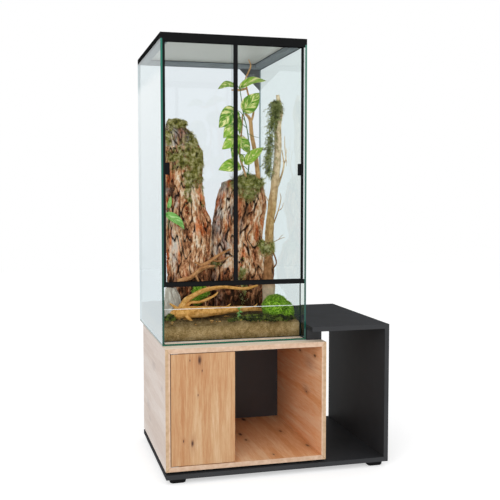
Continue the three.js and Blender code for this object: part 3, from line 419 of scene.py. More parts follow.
def pine_bark(name, warm, ash, fissure="2b1d15", rust=0.85):
    """Weathered pine bark: flaky ridges from orange to grey over dark fissures, rusty where a plate came off. The
    mesh carries each point's level, tone and greyness."""
    material, tree, shader = new_material(name, {"Roughness": 0.9, "Specular IOR Level": 0.2})
    relief = add_node(tree, "Attribute", out="Vector", attribute_name="relief")
    level, tone, grey = [add_node(tree, "SeparateXYZ", {0: relief}, out=axis) for axis in "XYZ"]
    place = add_node(tree, "TexCoord", out="Object")
    # Flakes 5 mm wide and 15 mm high, on streaks 14 mm wide.
    upright = add_node(tree, "VectorMath", {0: place, 1: (1.0, 1.0, 0.32)}, operation="MULTIPLY")
    flakes = add_node(tree, "TexNoise", {"Vector": upright, "Scale": 200.0, "Detail": 6.0, "Roughness": 0.74})
    long = add_node(tree, "VectorMath", {0: place, 1: (1.0, 1.0, 0.14)}, operation="MULTIPLY")
    streaks = add_node(tree, "TexNoise", {"Vector": long, "Scale": 70.0, "Detail": 4.0, "Roughness": 0.6})
    # Plates 9 mm wide and 28 mm high.
    plates = add_node(tree, "TexNoise", {"Vector": upright, "Scale": 105.0, "Detail": 3.0, "Roughness": 0.6})
    flaked = add_node(tree, "Math", {0: flakes, 1: 1.25, 2: tone}, operation="MULTIPLY_ADD")
    plated = add_node(tree, "Math", {0: plates, 1: 1.5, 2: flaked}, operation="MULTIPLY_ADD")
    mixed = add_node(tree, "Math", {0: streaks, 1: 0.5, 2: plated}, operation="MULTIPLY_ADD")
    lit = add_node(tree, "MapRange", {"Value": mixed, "From Min": 1.58, "From Max": 2.5})
    orange = add_node(tree, "ValToRGB", {0: lit}, stops=warm)
    # Where plates came off, about 33 mm wide and 100 mm high.
    fresh = add_node(tree, "TexNoise", {"Vector": upright, "Scale": 30.0, "Detail": 3.0, "Roughness": 0.55})
    newly = add_node(tree, "MapRange", {"Value": fresh, "From Min": 0.52, "From Max": 0.66, "To Max": rust})
    orange = add_node(tree, "Mix", {0: newly, 6: orange, 7: linear("f09858")}, **COLOURS, blend_type="MULTIPLY")
    silver = add_node(tree, "ValToRGB", {0: lit}, stops=ash)
    # Grey patches about 38 mm wide and 120 mm high.
    patches = add_node(tree, "TexNoise", {"Vector": upright, "Scale": 26.0, "Detail": 4.0, "Roughness": 0.6})
    weathered = add_node(tree, "Math", {0: patches, 1: 1.6, 2: grey}, operation="MULTIPLY_ADD")
    share = add_node(tree, "MapRange", {"Value": weathered, "From Min": 1.05, "From Max": 1.35})
    colour = add_node(tree, "Mix", {0: share, 6: orange, 7: silver}, **COLOURS)
    ragged = add_node(tree, "Math", {0: flakes, 1: 0.5, 2: level}, operation="MULTIPLY_ADD")
    open_face = add_node(tree, "MapRange", {"Value": ragged, "From Min": 0.5, "From Max": 0.95})
    colour = add_node(tree, "Mix", {0: open_face, 6: linear(fissure), 7: colour}, **COLOURS)
    coat(tree, shader, colour, flakes, 2.2)
    return material


def weathered_wood(name, stops, weathered=()):
    """Sandblasted driftwood or a bare stem: long fibres along the limb, with grey in the hollows. Each item of
    weathered is a colour, the heights above the soil that it starts and ends at, and its share in the hollows."""
    material, tree, shader = new_material(name, {"Roughness": 0.75, "Specular IOR Level": 0.25})
    run = add_node(tree, "Attribute", out="Vector", attribute_name="relief")
    # Fibres 2 mm wide and 40 mm long.
    drawn = add_node(tree, "VectorMath", {0: run, 1: (0.025, 0.5, 1.0)}, operation="MULTIPLY")
    fibres = add_node(tree, "TexNoise", {"Vector": drawn, "Scale": 1.0, "Detail": 5.0, "Roughness": 0.65})
    place = add_node(tree, "TexCoord", out="Object")
    # Blotches 17 mm wide.
    blotch = add_node(tree, "TexNoise", {"Vector": place, "Scale": 60.0, "Detail": 5.0, "Roughness": 0.65})
    tone = add_node(tree, "Math", {0: fibres, 1: 0.75, 2: blotch}, operation="MULTIPLY_ADD")
    level = add_node(tree, "MapRange", {"Value": tone, "From Min": 0.55, "From Max": 1.2})
    colour = add_node(tree, "ValToRGB", {0: level}, stops=stops)
    height = add_node(tree, "SeparateXYZ", {0: place}, out="Z")
    for code, start, end, hollows in weathered:
        low, high = [metres(0, 0, SOIL_TOP + z).z for z in (start, end)]
        fade = add_node(tree, "MapRange", {"Value": height, "From Min": low, "From Max": high})
        depth = add_node(tree, "MapRange", {"Value": level, "To Min": hollows, "To Max": 1.0 - hollows})
        thin = add_node(tree, "Math", {0: fade, 1: depth}, operation="MULTIPLY")
        colour = add_node(tree, "Mix", {0: thin, 6: colour, 7: linear(code)}, **COLOURS)
    coat(tree, shader, colour, tone, 1.6)
    return material


def live_moss(name, stops, scale=62.0):
    """Dry and living moss: many short shoots, darker inside and lighter at their tips. Its clumps are 16 mm wide, or
    6 mm at the cushion moss's scale of 170."""
    surface = {"Roughness": 0.9, "Specular IOR Level": 0.1, "Sheen Weight": 0.1}
    material, tree, shader = new_material(name, surface)
    run = add_node(tree, "Attribute", out="Vector", attribute_name="relief")
    tip, shoot = [add_node(tree, "SeparateXYZ", {0: run}, out=axis) for axis in "XY"]
    place = add_node(tree, "TexCoord", out="Object")
    cloud = add_node(tree, "TexNoise", {"Vector": place, "Scale": scale, "Detail": 5.0, "Roughness": 0.6})
    clump = add_node(tree, "MapRange", {"Value": cloud, "From Min": 0.38, "From Max": 0.62})
    tone = add_node(tree, "Math", {0: tip, 1: 0.35, 2: clump}, operation="MULTIPLY_ADD")
    mixed = add_node(tree, "Math", {0: shoot, 1: 0.3, 2: tone}, operation="MULTIPLY_ADD")
    level = add_node(tree, "MapRange", {"Value": mixed, "From Min": 0.2, "From Max": 1.35})
    colour = add_node(tree, "ValToRGB", {0: level}, stops=stops)
    coat(tree, shader, colour, cloud, 2.0)
    return material


def variegated_leaf(name, deep, fresh, cream, spread):
    """A waxy climbing-plant leaf: green with cream streaks between its side veins, and a pale midrib. The mesh
    carries each point's share of the length and of the half width, and its leaf's number."""
    material, tree, shader = new_material(name, {"Roughness": 0.36, "Specular IOR Level": 0.4})
    run = add_node(tree, "Attribute", out="Vector", attribute_name="relief")
    along, aside, which = [add_node(tree, "SeparateXYZ", {0: run}, out=axis) for axis in "XYZ"]
    off = add_node(tree, "Math", {0: aside}, operation="ABSOLUTE")
    lean = add_node(tree, "Math", {0: off, 1: -0.45, 2: along}, operation="MULTIPLY_ADD")
    streak_at = add_node(tree, "CombineXYZ", {0: lean, 1: aside, 2: which})
    drawn = add_node(tree, "VectorMath", {0: streak_at, 1: (7.0, 1.6, 5.0)}, operation="MULTIPLY")
    streaks = add_node(tree, "TexNoise", {"Vector": drawn, "Scale": 1.0, "Detail": 4.0, "Roughness": 0.6})
    # Seven side veins to a leaf, 6 to 12 mm apart.
    wave = add_node(tree, "Math", {0: lean, 1: 44.0}, operation="MULTIPLY")
    veins = add_node(tree, "Math", {0: wave}, operation="SINE")
    age = add_node(tree, "Math", {0: which}, operation="SINE")
    patches = add_node(tree, "MapRange", {"Value": streaks, "From Min": spread, "From Max": spread + 0.08})
    veined = add_node(tree, "Math", {0: veins, 1: 0.1, 2: streaks}, operation="MULTIPLY_ADD")
    green_at = add_node(tree, "Math", {0: age, 1: 0.1, 2: veined}, operation="MULTIPLY_ADD")
    green = add_node(tree, "ValToRGB", {0: green_at}, stops=[(0.3, deep), (0.6, fresh)])
    colour = add_node(tree, "Mix", {0: patches, 6: green, 7: linear(cream)}, **COLOURS)
    rib = add_node(tree, "MapRange", {"Value": off, "From Min": 0.07, "From Max": 0.0, "To Max": 0.8})
    colour = add_node(tree, "Mix", {0: rib, 6: colour, 7: linear("c6d78c")}, **COLOURS)
    coat(tree, shader, colour, veins, 0.25)
    return material


# ---- Mesh tools: a shape collects points in millimetres, faces and one relief value a point -------------------
class Shape:
    def __init__(self):
        self.points, self.faces, self.relief = [], [], []

    def add(self, points, faces, relief):
        first = len(self.points)
        self.points += points
        self.faces += [tuple(first + i for i in face) for face in faces]
        self.relief += relief


def make_piece(name, shape, material, replaced=(), body="cabinet", smooth=True):
    """Turns a shape into a piece that rides on a body and stands for CAD nodes."""
    mesh = bpy.data.meshes.new(name)
    mesh.from_pydata([metres(*p) for p in shape.points], [], shape.faces)
    carried = mesh.attributes.new("relief", "FLOAT_VECTOR", "POINT")
    carried.data.foreach_set("vector", [v for triple in shape.relief for v in triple])
    mesh.polygons.foreach_set("use_smooth", [smooth] * len(mesh.polygons))
    mesh.materials.append(material)
    piece = bpy.data.objects.new(name, mesh)
    bpy.context.scene.collection.objects.link(piece)
    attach(piece, body)
    if replaced:
        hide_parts(*replaced)
    return piece


def smooth_line(path, steps):
    """Points on a smooth line through path, steps to a stretch."""
    knots = [Vector(p) for p in path]
    knots = [knots[0] * 2 - knots[1], *knots, knots[-1] * 2 - knots[-2]]
    line = []
    for a, b, c, d in zip(knots, knots[1:], knots[2:], knots[3:]):
        for i in range(steps):
            t = i / steps
            line.append(
                (b * 2 + (c - a) * t + (a * 2 - b * 5 + c * 4 - d) * t * t + (b * 3 - a - c * 3 + d) * t**3) / 2
            )
    line.append(knots[-2])
    return line


def between(values, share):
    """The value at a share of the way along a list of numbers."""
    at = share * (len(values) - 1)
    low = min(int(at), len(values) - 2)
    return values[low] + (values[low + 1] - values[low]) * (at - low)


def ring_faces(rings, sides):
    """The faces of a tube of rings, closed at both ends."""
    faces = [
        (r * sides + i, r * sides + (i + 1) % sides, (r + 1) * sides + (i + 1) % sides, (r + 1) * sides + i)
        for r in range(rings - 1)
        for i in range(sides)
    ]
    return faces + [tuple(reversed(range(sides))), tuple((rings - 1) * sides + i for i in range(sides))]


def limb(shape, path, radii, sides=16, steps=8, rough=0.16, seed=0.0):
    """A wooden limb along a path, knobbly and ridged along its length."""
    line = smooth_line(path, steps)
    points, relief = [], []
    travelled = 0.0
    for i, centre in enumerate(line):
        ahead = (line[min(i + 1, len(line) - 1)] - line[max(i - 1, 0)]).normalized()
        travelled += (centre - line[max(i - 1, 0)]).length
        side = ahead.cross(Vector((0, 1, 0)))
        side = side.normalized() if side.length > 0.05 else Vector((1, 0, 0))
        up = side.cross(ahead).normalized()
        radius = between(radii, i / (len(line) - 1))
        for k in range(sides):
            turn = 2 * math.pi * k / sides
            out = side * math.cos(turn) + up * math.sin(turn)
            knob = noise.noise(out * 1.1 + centre * 0.018 + Vector((seed, 0, 0)))
            ridge = noise.noise(Vector((travelled * 0.015, turn * 2.2, seed)))
            points.append(centre + out * radius * (1 + rough * (1.3 * knob + 0.8 * ridge)))
            relief.append((travelled, turn * radius, seed))
    shape.add(points, ring_faces(len(line), sides), relief)


def shoots(shape, anchors, length, width, draw, droop=0.25, spread=0.6):
    """Short curved shoots that taper to a point, one at each (point, direction outwards)."""
    for point, out in anchors:
        reach = length * draw.uniform(0.45, 1.15)
        stray = Vector([draw.uniform(-1, 1) for _ in range(3)])
        heading = (out + stray * spread).normalized()
        side = heading.cross(stray)
        side = side.normalized() if side.length > 0.01 else Vector((1, 0, 0))
        other = heading.cross(side)
        tone = draw.random()
        middle = point + heading * reach * 0.6
        tip = point + heading * reach + Vector((0, 0, -droop * reach))
        arms = [side * math.cos(a) + other * math.sin(a) for a in (0, 2.094, 4.189)]
        points = [point + arm * width / 2 for arm in arms] + [middle + arm * width * 0.38 for arm in arms] + [tip]
        faces = [(0, 1, 4, 3), (1, 2, 5, 4), (2, 0, 3, 5), (3, 4, 6), (4, 5, 6), (5, 3, 6), (0, 2, 1)]
        shape.add(points, faces, [(0, tone, 0)] * 3 + [(0.6, tone, 0)] * 3 + [(1, tone, 0)])


def cushion(shape, centre, size, bump, seed):
    """A closed mossy lump; returns its points with their directions outwards."""
    across, down = 48, 28
    points, relief, anchors = [], [], []
    centre, size = Vector(centre), Vector(size)
    for r in range(down + 1):
        tilt = math.pi * r / down
        for k in range(across):
            turn = 2 * math.pi * k / across
            out = Vector((math.sin(tilt) * math.cos(turn), math.sin(tilt) * math.sin(turn), math.cos(tilt)))
            swell = 1 + bump * noise.fractal(out * 2.3 + Vector((seed, 0, 0)), 1.0, 2.0, 4)
            point = centre + Vector(a * b for a, b in zip(out, size)) * swell
            points.append(point)
            relief.append((0.1, 0.5 + 0.5 * noise.noise(point * 0.05), 0))
            anchors.append((point, out))
    faces = [
        (r * across + k, (r + 1) * across + k, (r + 1) * across + (k + 1) % across, r * across + (k + 1) % across)
        for r in range(down)
        for k in range(across)
    ]
    shape.add(points, faces, relief)
    return anchors


# ---- Planting ------------------------------------------------------------------------------------------------
def station_at(stations, z):
    """A slab's left and right edge at height z, eased from one station to the next."""
    for (z0, l0, r0), (z1, l1, r1) in zip(stations, stations[1:]):
        if z <= z1:
            share = (z - z0) / (z1 - z0)
            share = share * share * (3 - 2 * share)
            return l0 + (l1 - l0) * share, r0 + (r1 - r0) * share
    return stations[-1][1:]


SLAB_LEAN = 0.02  # towards the rear, a millimetre of height


def bark_slab(shape, stations, place, depth, seed, ragged, ash, row=3.6, columns=190):
    """An upright slab of bark: long wandering fissures, depth mm deep, part it into ridges, and short cracks part
    those into flakes. place is its middle's y and half its thickness, and ash says where it is grey."""
    y, half_depth = place
    low, high = stations[0][0], stations[-1][0]
    rows = int((high - low) / row)
    points, relief = [], []
    for r in range(rows + 1):
        z = low + (high - low) * r / rows
        left, right = station_at(stations, z)
        half = (right - left) / 2
        deep = half_depth * min(1, (right - left) / 150)
        top = max(0.0, 1 - (high - z) / 60)
        for k in range(columns):
            turn = 2 * math.pi * k / columns
            c, s = -math.sin(turn), math.cos(turn)
            out = Vector((c * deep, s * half, 0)).normalized()
            girth = (turn - math.pi) * (half + deep) * 0.5
            # Fissures wander 8 mm to a side. They are about 15 mm apart and 80 mm long, and the cracks 8 and 24 mm.
            drift = 8 * noise.noise(Vector((girth * 0.02, z * 0.012, seed)))
            sway = 20 * noise.noise(Vector((girth * 0.015, z * 0.01, seed + 9)))
            fissure = abs(noise.noise(Vector(((girth + drift) / 15, (z + sway) / 80, seed + 2))))
            crack = abs(noise.noise(Vector(((girth + 2 * drift) / 8, (z + sway) / 24, seed + 4))))
            # Swellings 36 mm wide and 120 mm high, with flakes of 12 by 34 mm on them.
            broad = noise.noise(Vector((girth / 36, z / 120, seed + 6)))
            near, cells = noise.voronoi(Vector(((girth + drift) / 12, (z + sway) / 34, seed)))
            flake = noise.cell(cells[0] * 7.3)
            fine = noise.fractal(Vector((girth * 0.11, z * 0.04, seed)), 1.0, 2.0, 4)
            level = min(1.0, fissure / 0.17) ** 0.8 * (0.66 + 0.34 * min(1.0, crack / 0.16))
            # Painted shade: the tone is darker over the lowest 200 mm above the soil, where the slabs' foot lies in
            # shade.
            painted_shade = 0.42 * max(0.0, min(1.0, (200 - z) / 60))
            rise = depth * (level - 0.8) + 5 * broad + 0.9 * flake + 1.6 * fine
            height = z + top * ragged * noise.noise(Vector((girth * 0.05, seed, 0)))
            x = (left + right) / 2 + c * half + out.x * rise
            points.append(Vector((x, y + SLAB_LEAN * z + s * deep + out.y * rise, SOIL_TOP + height)))
            relief.append((level, 0.5 + 0.45 * broad + 0.18 * flake + 0.2 * fine - painted_shade, ash(x, z)))
    shape.add(points, ring_faces(rows + 1, columns), relief)


def front_of_slab(stations, place, x, z):
    """The y of an upright slab's front at x and z, and the direction outwards there."""
    y, half_depth = place
    left, right = station_at(stations, z)
    half = (right - left) / 2
    deep = half_depth * min(1, (right - left) / 150)
    c = max(-0.98, min(0.98, (x - (left + right) / 2) / half))
    s = -math.sqrt(1 - c * c)
    return y + SLAB_LEAN * z + s * deep, Vector((c * deep, s * half, 0)).normalized()


# Each slab's height above the soil with its left and right edge there, and its middle's y and half its thickness.
LEFT_SLAB = [
    (-24, 84, 284), (60, 82, 282), (240, 80, 275), (400, 79, 282), (480, 79, 254),
    (570, 78, 240), (700, 78, 244), (785, 79, 210), (832, 80, 166), (856, 92, 134),
]
RIGHT_SLAB = [
    (-24, 290, 524), (50, 290, 538), (130, 285, 580), (200, 283, 584), (295, 288, 556), (330, 291, 526),
    (400, 297, 532), (490, 311, 548), (530, 322, 540), (580, 340, 530), (592, 372, 500),
]
CORK_SLAB = [(-12, 46, 128), (40, 48, 130), (84, 50, 122), (128, 56, 104)]
LEFT_PLACE, RIGHT_PLACE, CORK_PLACE = (440, 38), (480, 40), (330, 13)


def at_soil(path):
    """A path whose heights are above the soil."""
    return [(x, y, SOIL_TOP + z) for x, y, z in path]


def make_bark(materials):
    def grey_left(x, z):
        """Grey below on its left, and near its top."""
        return 0.04 + 0.26 * (x < 130) * (z < 560) + 0.38 * (z > 740)

    def grey_right(x, z):
        """Grey on its left, less so at its foot."""
        return 0.36 - 0.3 * max(0.0, min(1.0, (x - 360) / 90)) - 0.12 * (z < 260)

    shape = Shape()
    bark_slab(shape, LEFT_SLAB, LEFT_PLACE, depth=10, seed=3.1, ragged=8, ash=grey_left)
    make_piece("bark_left", shape, materials["bark"], ["bark_slab_left"])
    shape = Shape()
    bark_slab(shape, RIGHT_SLAB, RIGHT_PLACE, depth=11, seed=8.7, ragged=22, ash=grey_right)
    make_piece("bark_right", shape, materials["bark"], ["bark_slab_right"])
    shape = Shape()
    bark_slab(shape, CORK_SLAB, CORK_PLACE, depth=4, seed=1.9, ragged=10, ash=lambda x, z: 1.0, row=3, columns=90)
    make_piece("lichen_cork", shape, materials["cork"], ["cork_slab"])


def make_wood(materials):
    def limbs(name, material, replaced, *branches):
        """A piece of joined limbs, each given as a path above the soil and its radii."""
        shape = Shape()
        for i, (path, radii) in enumerate(branches):
            sides = 28 if max(radii) > 9 else 10
            limb(shape, at_soil(path), radii, sides=sides, steps=12 if sides > 10 else 8, seed=7.0 * i + len(path))
        make_piece(name, shape, materials[material], replaced)

    limbs(
        "trunk_wood", "trunk", ["trunk"],
        ([(508, 304, -24), (510, 303, 60), (506, 301, 130), (503, 300, 210), (512, 300, 400), (529, 300, 540),
          (541, 300, 640), (547, 300, 730), (547, 300, 830), (556, 300, 888), (545, 300, 958)],
         [30, 29, 25, 19, 18, 17, 16, 15, 15, 13, 7]),
        ([(514, 302, 500), (545, 306, 560), (560, 310, 592), (577, 310, 656), (568, 310, 722)], [6, 5, 4.4, 3.6, 2]),
        ([(577, 310, 656), (586, 308, 690), (581, 308, 735), (580, 308, 784)], [3, 2.6, 2, 1]),
        ([(585, 308, 688), (588, 304, 672), (587, 302, 652)], [1.8, 1.4, 0.8]),
        ([(582, 308, 700), (588, 306, 712), (588, 304, 730)], [1.8, 1.4, 0.8]),
        ([(530, 302, 405), (549, 304, 456), (562, 304, 510), (558, 304, 534)], [3, 2.4, 1.8, 1]),
        ([(549, 304, 456), (566, 300, 470), (572, 298, 492)], [1.8, 1.4, 0.8]),
        ([(480, 290, 537), (504, 281, 483), (500, 279, 420), (487, 284, 356), (515, 280, 288), (540, 300, 238),
          (538, 318, 211), (520, 350, 190)], [2, 2.4, 2.4, 3.4, 3.2, 3, 2.6, 1.6]),
        ([(504, 284, 330), (522, 290, 322), (549, 294, 332), (578, 294, 343)], [2.2, 1.6, 1.3, 0.9]),
        ([(549, 294, 332), (560, 292, 346), (570, 290, 354)], [1.2, 1, 0.6]),
    )
    limbs(
        "driftwood_log", "driftwood", ["driftwood"],
        ([(66, 246, 22), (88, 250, 26), (134, 244, 33), (208, 240, 33), (284, 242, 37), (349, 246, 39), (427, 252, 36),
          (484, 262, 26)], [16, 25, 26, 23, 17, 13, 10, 4]),
        ([(100, 246, 40), (124, 252, 78), (154, 262, 96), (213, 274, 121), (289, 286, 131), (343, 290, 126),
          (399, 296, 120), (456, 300, 132)], [14, 13, 11, 9, 7.5, 7, 6.5, 4]),
        ([(126, 244, 52), (150, 260, 72), (190, 272, 72), (232, 280, 84), (262, 282, 98), (274, 282, 110)],
         [8, 7, 6.5, 6, 5, 3]),
        ([(92, 250, 40), (70, 240, 22), (44, 234, 8)], [17, 12, 6]),
        ([(100, 244, 44), (78, 238, 60), (58, 236, 74)], [9, 6, 3]),
        ([(92, 240, 30), (70, 226, 14), (60, 220, 2)], [9, 7, 4]),
        ([(120, 230, 26), (134, 218, 12), (146, 212, 0)], [10, 7, 4]),
        ([(170, 226, 40), (176, 214, 52), (180, 208, 62)], [6, 4, 1.6]),
        ([(300, 236, 50), (312, 232, 60), (318, 230, 66)], [4, 3, 1.2]),
        ([(420, 244, 44), (432, 238, 54), (436, 234, 62)], [4, 3, 1.4]),
    )
    limbs(
        "climbing_root_wood", "root", ["climbing_root"],
        ([(118, 400, 152), (150, 396, 157), (180, 396, 166), (209, 396, 192), (243, 400, 208), (290, 420, 211)],
         [7, 9, 9, 9.5, 8.5, 5]),
        ([(198, 398, 232), (222, 402, 220), (246, 406, 222), (276, 412, 240), (317, 424, 262), (368, 446, 283)],
         [5, 6, 7.5, 8, 7, 4]),
        ([(196, 398, 182), (206, 390, 158), (214, 388, 140)], [6, 4.4, 2.4]),
        ([(276, 412, 240), (300, 420, 232), (330, 434, 236), (372, 446, 254)], [4, 4, 3.4, 2]),
    )
    limbs(
        "bare_twigs", "twig", ["twigs"],
        ([(500, 452, 600), (484, 440, 706), (466, 436, 790), (460, 436, 850), (452, 436, 872), (434, 436, 889)],
         [10.5, 9.5, 8.5, 8, 7, 5]),
        ([(462, 436, 852), (473, 438, 890), (470, 438, 926), (452, 438, 967), (437, 438, 1034), (449, 438, 1068),
          (461, 438, 1100), (451, 438, 1128)], [5.5, 5, 4.4, 4.2, 3.8, 3.4, 3.4, 2]),
        ([(440, 440, 608), (410, 434, 700), (415, 434, 778), (424, 436, 886)], [5, 4.6, 4.2, 3.6]),
        ([(444, 436, 1000), (424, 424, 994), (398, 404, 987), (364, 402, 986)], [4, 5, 5, 3]),
        ([(470, 438, 926), (490, 428, 936), (498, 424, 950)], [1.6, 1.2, 0.8]),
        ([(448, 438, 770), (420, 428, 790), (398, 424, 786)], [1.6, 1.3, 0.9]),
    )


LEAVES = [  # base, tip, width and how far the blade faces up
    ((374, 400, 1004), (302, 392, 988), 40, 0.9),
    ((414, 398, 1002), (519, 388, 1028), 44, 0.9),
    ((426, 396, 902), (485, 380, 974), 64, 0.1),
    ((374, 396, 893), (303, 382, 818), 70, 0.2),
    ((378, 392, 838), (322, 378, 774), 54, 0.2),
    ((388, 392, 778), (316, 378, 726), 56, 0.1),
    ((374, 388, 756), (366, 376, 666), 36, 0.1),
    ((392, 390, 768), (440, 376, 708), 50, 0.3),
    ((433, 394, 672), (506, 384, 736), 44, 0.4),
    ((392, 396, 652), (301, 384, 634), 62, 0.5),
    ((394, 400, 866), (397, 390, 790), 20, 0.1),
    ((404, 396, 702), (410, 386, 668), 20, 0.3),
]


def leaf(shape, base, tip, width, upward, which):
    """A pointed heart of a leaf, folded a little along its midrib and curved down to its tip."""
    base, tip = Vector(base), Vector(tip)
    run = tip - base
    length = run.length
    ahead = run.normalized()
    face = Vector((0, -1, 0.15 + upward)).normalized()
    aside = face.cross(ahead).normalized()
    out = ahead.cross(aside).normalized()
    if out.y > 0:
        out = -out
    rows, columns = 16, 10
    points, relief = [], []
    widest = 0.3  # of its length from the base
    for r in range(rows + 1):
        t = r / rows
        if t < widest:
            share = math.sqrt(max(0.0, 1 - (1 - t / widest) ** 2))
        else:
            share = math.cos(math.pi / 2 * (t - widest) / (1 - widest)) ** 0.85
        half = max(0.35, width / 2 * share)
        for k in range(columns + 1):
            s = 2 * k / columns - 1
            wave = 0.035 * width * math.sin(9 * t + 3 * s + which) * abs(s)
            rise = 0.16 * length * math.sin(math.pi * t) + 0.22 * half * abs(s) + wave
            lobe = -0.16 * length * (1 - t) ** 3 * abs(s) ** 1.5
            points.append(base + ahead * (length * t + lobe) + aside * half * s + out * rise)
            relief.append((t, s, which * 1.7))
    wide = columns + 1
    faces = [
        (r * wide + k, r * wide + k + 1, (r + 1) * wide + k + 1, (r + 1) * wide + k)
        for r in range(rows)
        for k in range(columns)
    ]
    shape.add(points, faces, relief)


def thicken(piece, thickness_mm):
    """Gives a leaf's open sheet its thickness."""
    solid = piece.modifiers.new("thickness", "SOLIDIFY")
    solid.thickness = thickness_mm / 1000
    solid.offset = 0


def make_vine(materials):
    stem = Shape()
    route = at_soil([(440, 458, 602), (448, 430, 634), (445, 408, 704), (441, 404, 777), (433, 404, 828),
                     (417, 402, 890), (404, 402, 983), (400, 402, 1006)])
    limb(stem, route, [3.2, 3, 2.6, 2.4, 2.2, 2, 1.8, 1.6], sides=10, steps=10, rough=0.08, seed=41.0)
    marks = smooth_line(route, 20)
    blades = Shape()
    for which, (base, tip, width, upward) in enumerate(LEAVES):
        base, tip = at_soil([base, tip])
        root = min(marks, key=lambda p: abs(p.z - base[2] + 16))
        middle = (root + Vector(base)) / 2 + Vector((0, -3, 10))
        limb(stem, [root, middle, base], [1.5, 1.4, 1.2], sides=8, steps=6, rough=0.05, seed=50.0 + which)
        leaf(blades, base, tip, 1.12 * width, upward, which)
    for path in (
        [(416, 402, 886), (430, 396, 884), (441, 394, 887)],
        [(436, 404, 800), (462, 398, 786), (488, 394, 780)],
        [(445, 406, 700), (424, 398, 690), (400, 396, 698)],
    ):
        limb(stem, at_soil(path), [1.3, 1.1, 0.8], sides=8, steps=6, rough=0.05)
    make_piece("vine_stem", stem, materials["stem"], ["vine"])
    thicken(make_piece("vine_leaves", blades, materials["leaf"]), 1.0)

    creeper, pale = Shape(), Shape()
    limb(creeper, at_soil([(86, 420, 520), (84, 398, 480), (80, 396, 440), (84, 396, 380)]), [1.6, 1.5, 1.4, 1.2],
         sides=8, rough=0.05, seed=61.0)
    limb(creeper, at_soil([(352, 226, 50), (354, 220, 36), (350, 216, 16)]), [1.2, 1.2, 0.9], sides=8, seed=62.0)
    leaf(pale, (78, 394, SOIL_TOP + 438), (148, 384, SOIL_TOP + 378), 44, 0.6, 11)
    leaf(pale, (82, 394, SOIL_TOP + 476), (90, 384, SOIL_TOP + 520), 18, 0.2, 12)
    for which, (x, z, dx, dz) in enumerate([(352, 46, 14, 10), (353, 40, -12, 8), (353, 32, 13, -2), (352, 26, -13, 0),
                                            (351, 20, 9, -12), (350, 18, -8, -12)]):
        leaf(pale, (x, 218, SOIL_TOP + z), (x + dx, 212, SOIL_TOP + z + dz), 8, 0.4, 20 + which)
    make_piece("creeper_stem", creeper, materials["stem"])
    thicken(make_piece("creeper_leaves", pale, materials["pale_leaf"]), 1.0)


def make_moss(materials):
    draw = random.Random(7)

    def strewn(anchors, count):
        """count places for shoots, drawn from the anchors and moved a little."""
        chosen = [draw.choice(anchors) for _ in range(count)]
        return [(point + Vector([draw.uniform(-2.5, 2.5) for _ in range(3)]), out) for point, out in chosen]

    def on_slab(slab, slab_place, patches, count):
        """Places on a slab's front, in patches (x, z, half width, half height, weight) with bare gaps."""
        places = []
        while len(places) < count:
            x, z, wide, high, _ = draw.choices(patches, [patch[4] for patch in patches])[0]
            x, z = draw.gauss(x, wide * 0.6), draw.gauss(z, high * 0.6)
            left, right = station_at(slab, z)
            gap = noise.noise(Vector((x * 0.055, z * 0.04, 7.7))) < -0.02
            if left + 2 < x < right - 1 and not (gap and draw.random() < 0.93):
                front, out = front_of_slab(slab, slab_place, x, z)
                places.append((Vector((x, front - draw.uniform(-3, 5), SOIL_TOP + z)), out))
        return places

    def mossy(name, node, material, lumps, count, length, width, droop=0.25, spread=0.6, places=()):
        shape = Shape()
        anchors = []
        for i, (centre, size, bump) in enumerate(lumps):
            place = (centre[0], centre[1], SOIL_TOP + centre[2])
            anchors += cushion(shape, place, size, bump=bump, seed=3.7 * i + count)
        shoots(shape, strewn(anchors, count) + list(places), length, width, draw, droop, spread)
        return make_piece(name, shape, materials[material], [node])

    mossy("moss_ball_tuft", "moss_ball", "bright_moss",
          [((508, 206, 50), (54, 48, 50), 0.07), ((548, 202, 26), (38, 40, 48), 0.07)], 12000, 5, 1.8, 0.1, 0.5)
    mossy("moss_tuft_clump", "moss_tuft", "bright_moss",
          [((222, 400, 100), (34, 24, 26), 0.25), ((204, 400, 70), (22, 20, 22), 0.25)], 4200, 8, 2.0)
    mossy("moss_mat_carpet", "moss_mat", "mat_moss",
          [((420, 170, 5), (88, 30, 16), 0.4), ((335, 170, 0), (40, 18, 9), 0.3), ((516, 164, 2), (58, 24, 14), 0.3),
           ((58, 226, 10), (18, 14, 15), 0.4)], 8000, 8, 2.2)
    on_right = [(462, 580, 64, 30, 3), (425, 150, 13, 70, 1), (281, 222, 30, 14, 0.5), (530, 296, 26, 22, 0.7),
                (452, 545, 30, 30, 1)]
    # A ring of moss on the trunk's front.
    trunk_x, trunk_y = 502, 298
    turns = [draw.uniform(-0.3, 3.4) for _ in range(900)]
    ring = []
    for x, y in [(trunk_x + 21 * math.cos(a), trunk_y - 19 * math.sin(a)) for a in turns]:
        outwards = Vector((x - trunk_x, y - trunk_y, 4)).normalized()
        ring.append((Vector((x, y, SOIL_TOP + draw.gauss(296, 14))), outwards))
    mossy("moss_cap_right", "slab_moss_right", "dry_moss", [((460, 468, 586), (58, 34, 24), 0.45)], 4200, 15, 1.8,
          0.35, 1.0, on_slab(RIGHT_SLAB, RIGHT_PLACE, on_right, 6500) + ring)
    on_left = [(200, 690, 36, 92, 4), (140, 694, 44, 44, 2), (130, 844, 40, 10, 1.2), (94, 790, 12, 40, 0.6),
               (172, 600, 16, 80, 1), (232, 640, 10, 100, 1), (168, 540, 10, 50, 0.3)]
    mossy("moss_cap_left", "slab_moss_left", "olive_moss",
          [((196, 430, 668), (24, 18, 84), 0.4), ((132, 438, 840), (32, 22, 10), 0.4)], 4200, 15, 1.9, 0.45, 1.0,
          on_slab(LEFT_SLAB, LEFT_PLACE, on_left, 10000))
    make_hanging_moss(materials, draw)


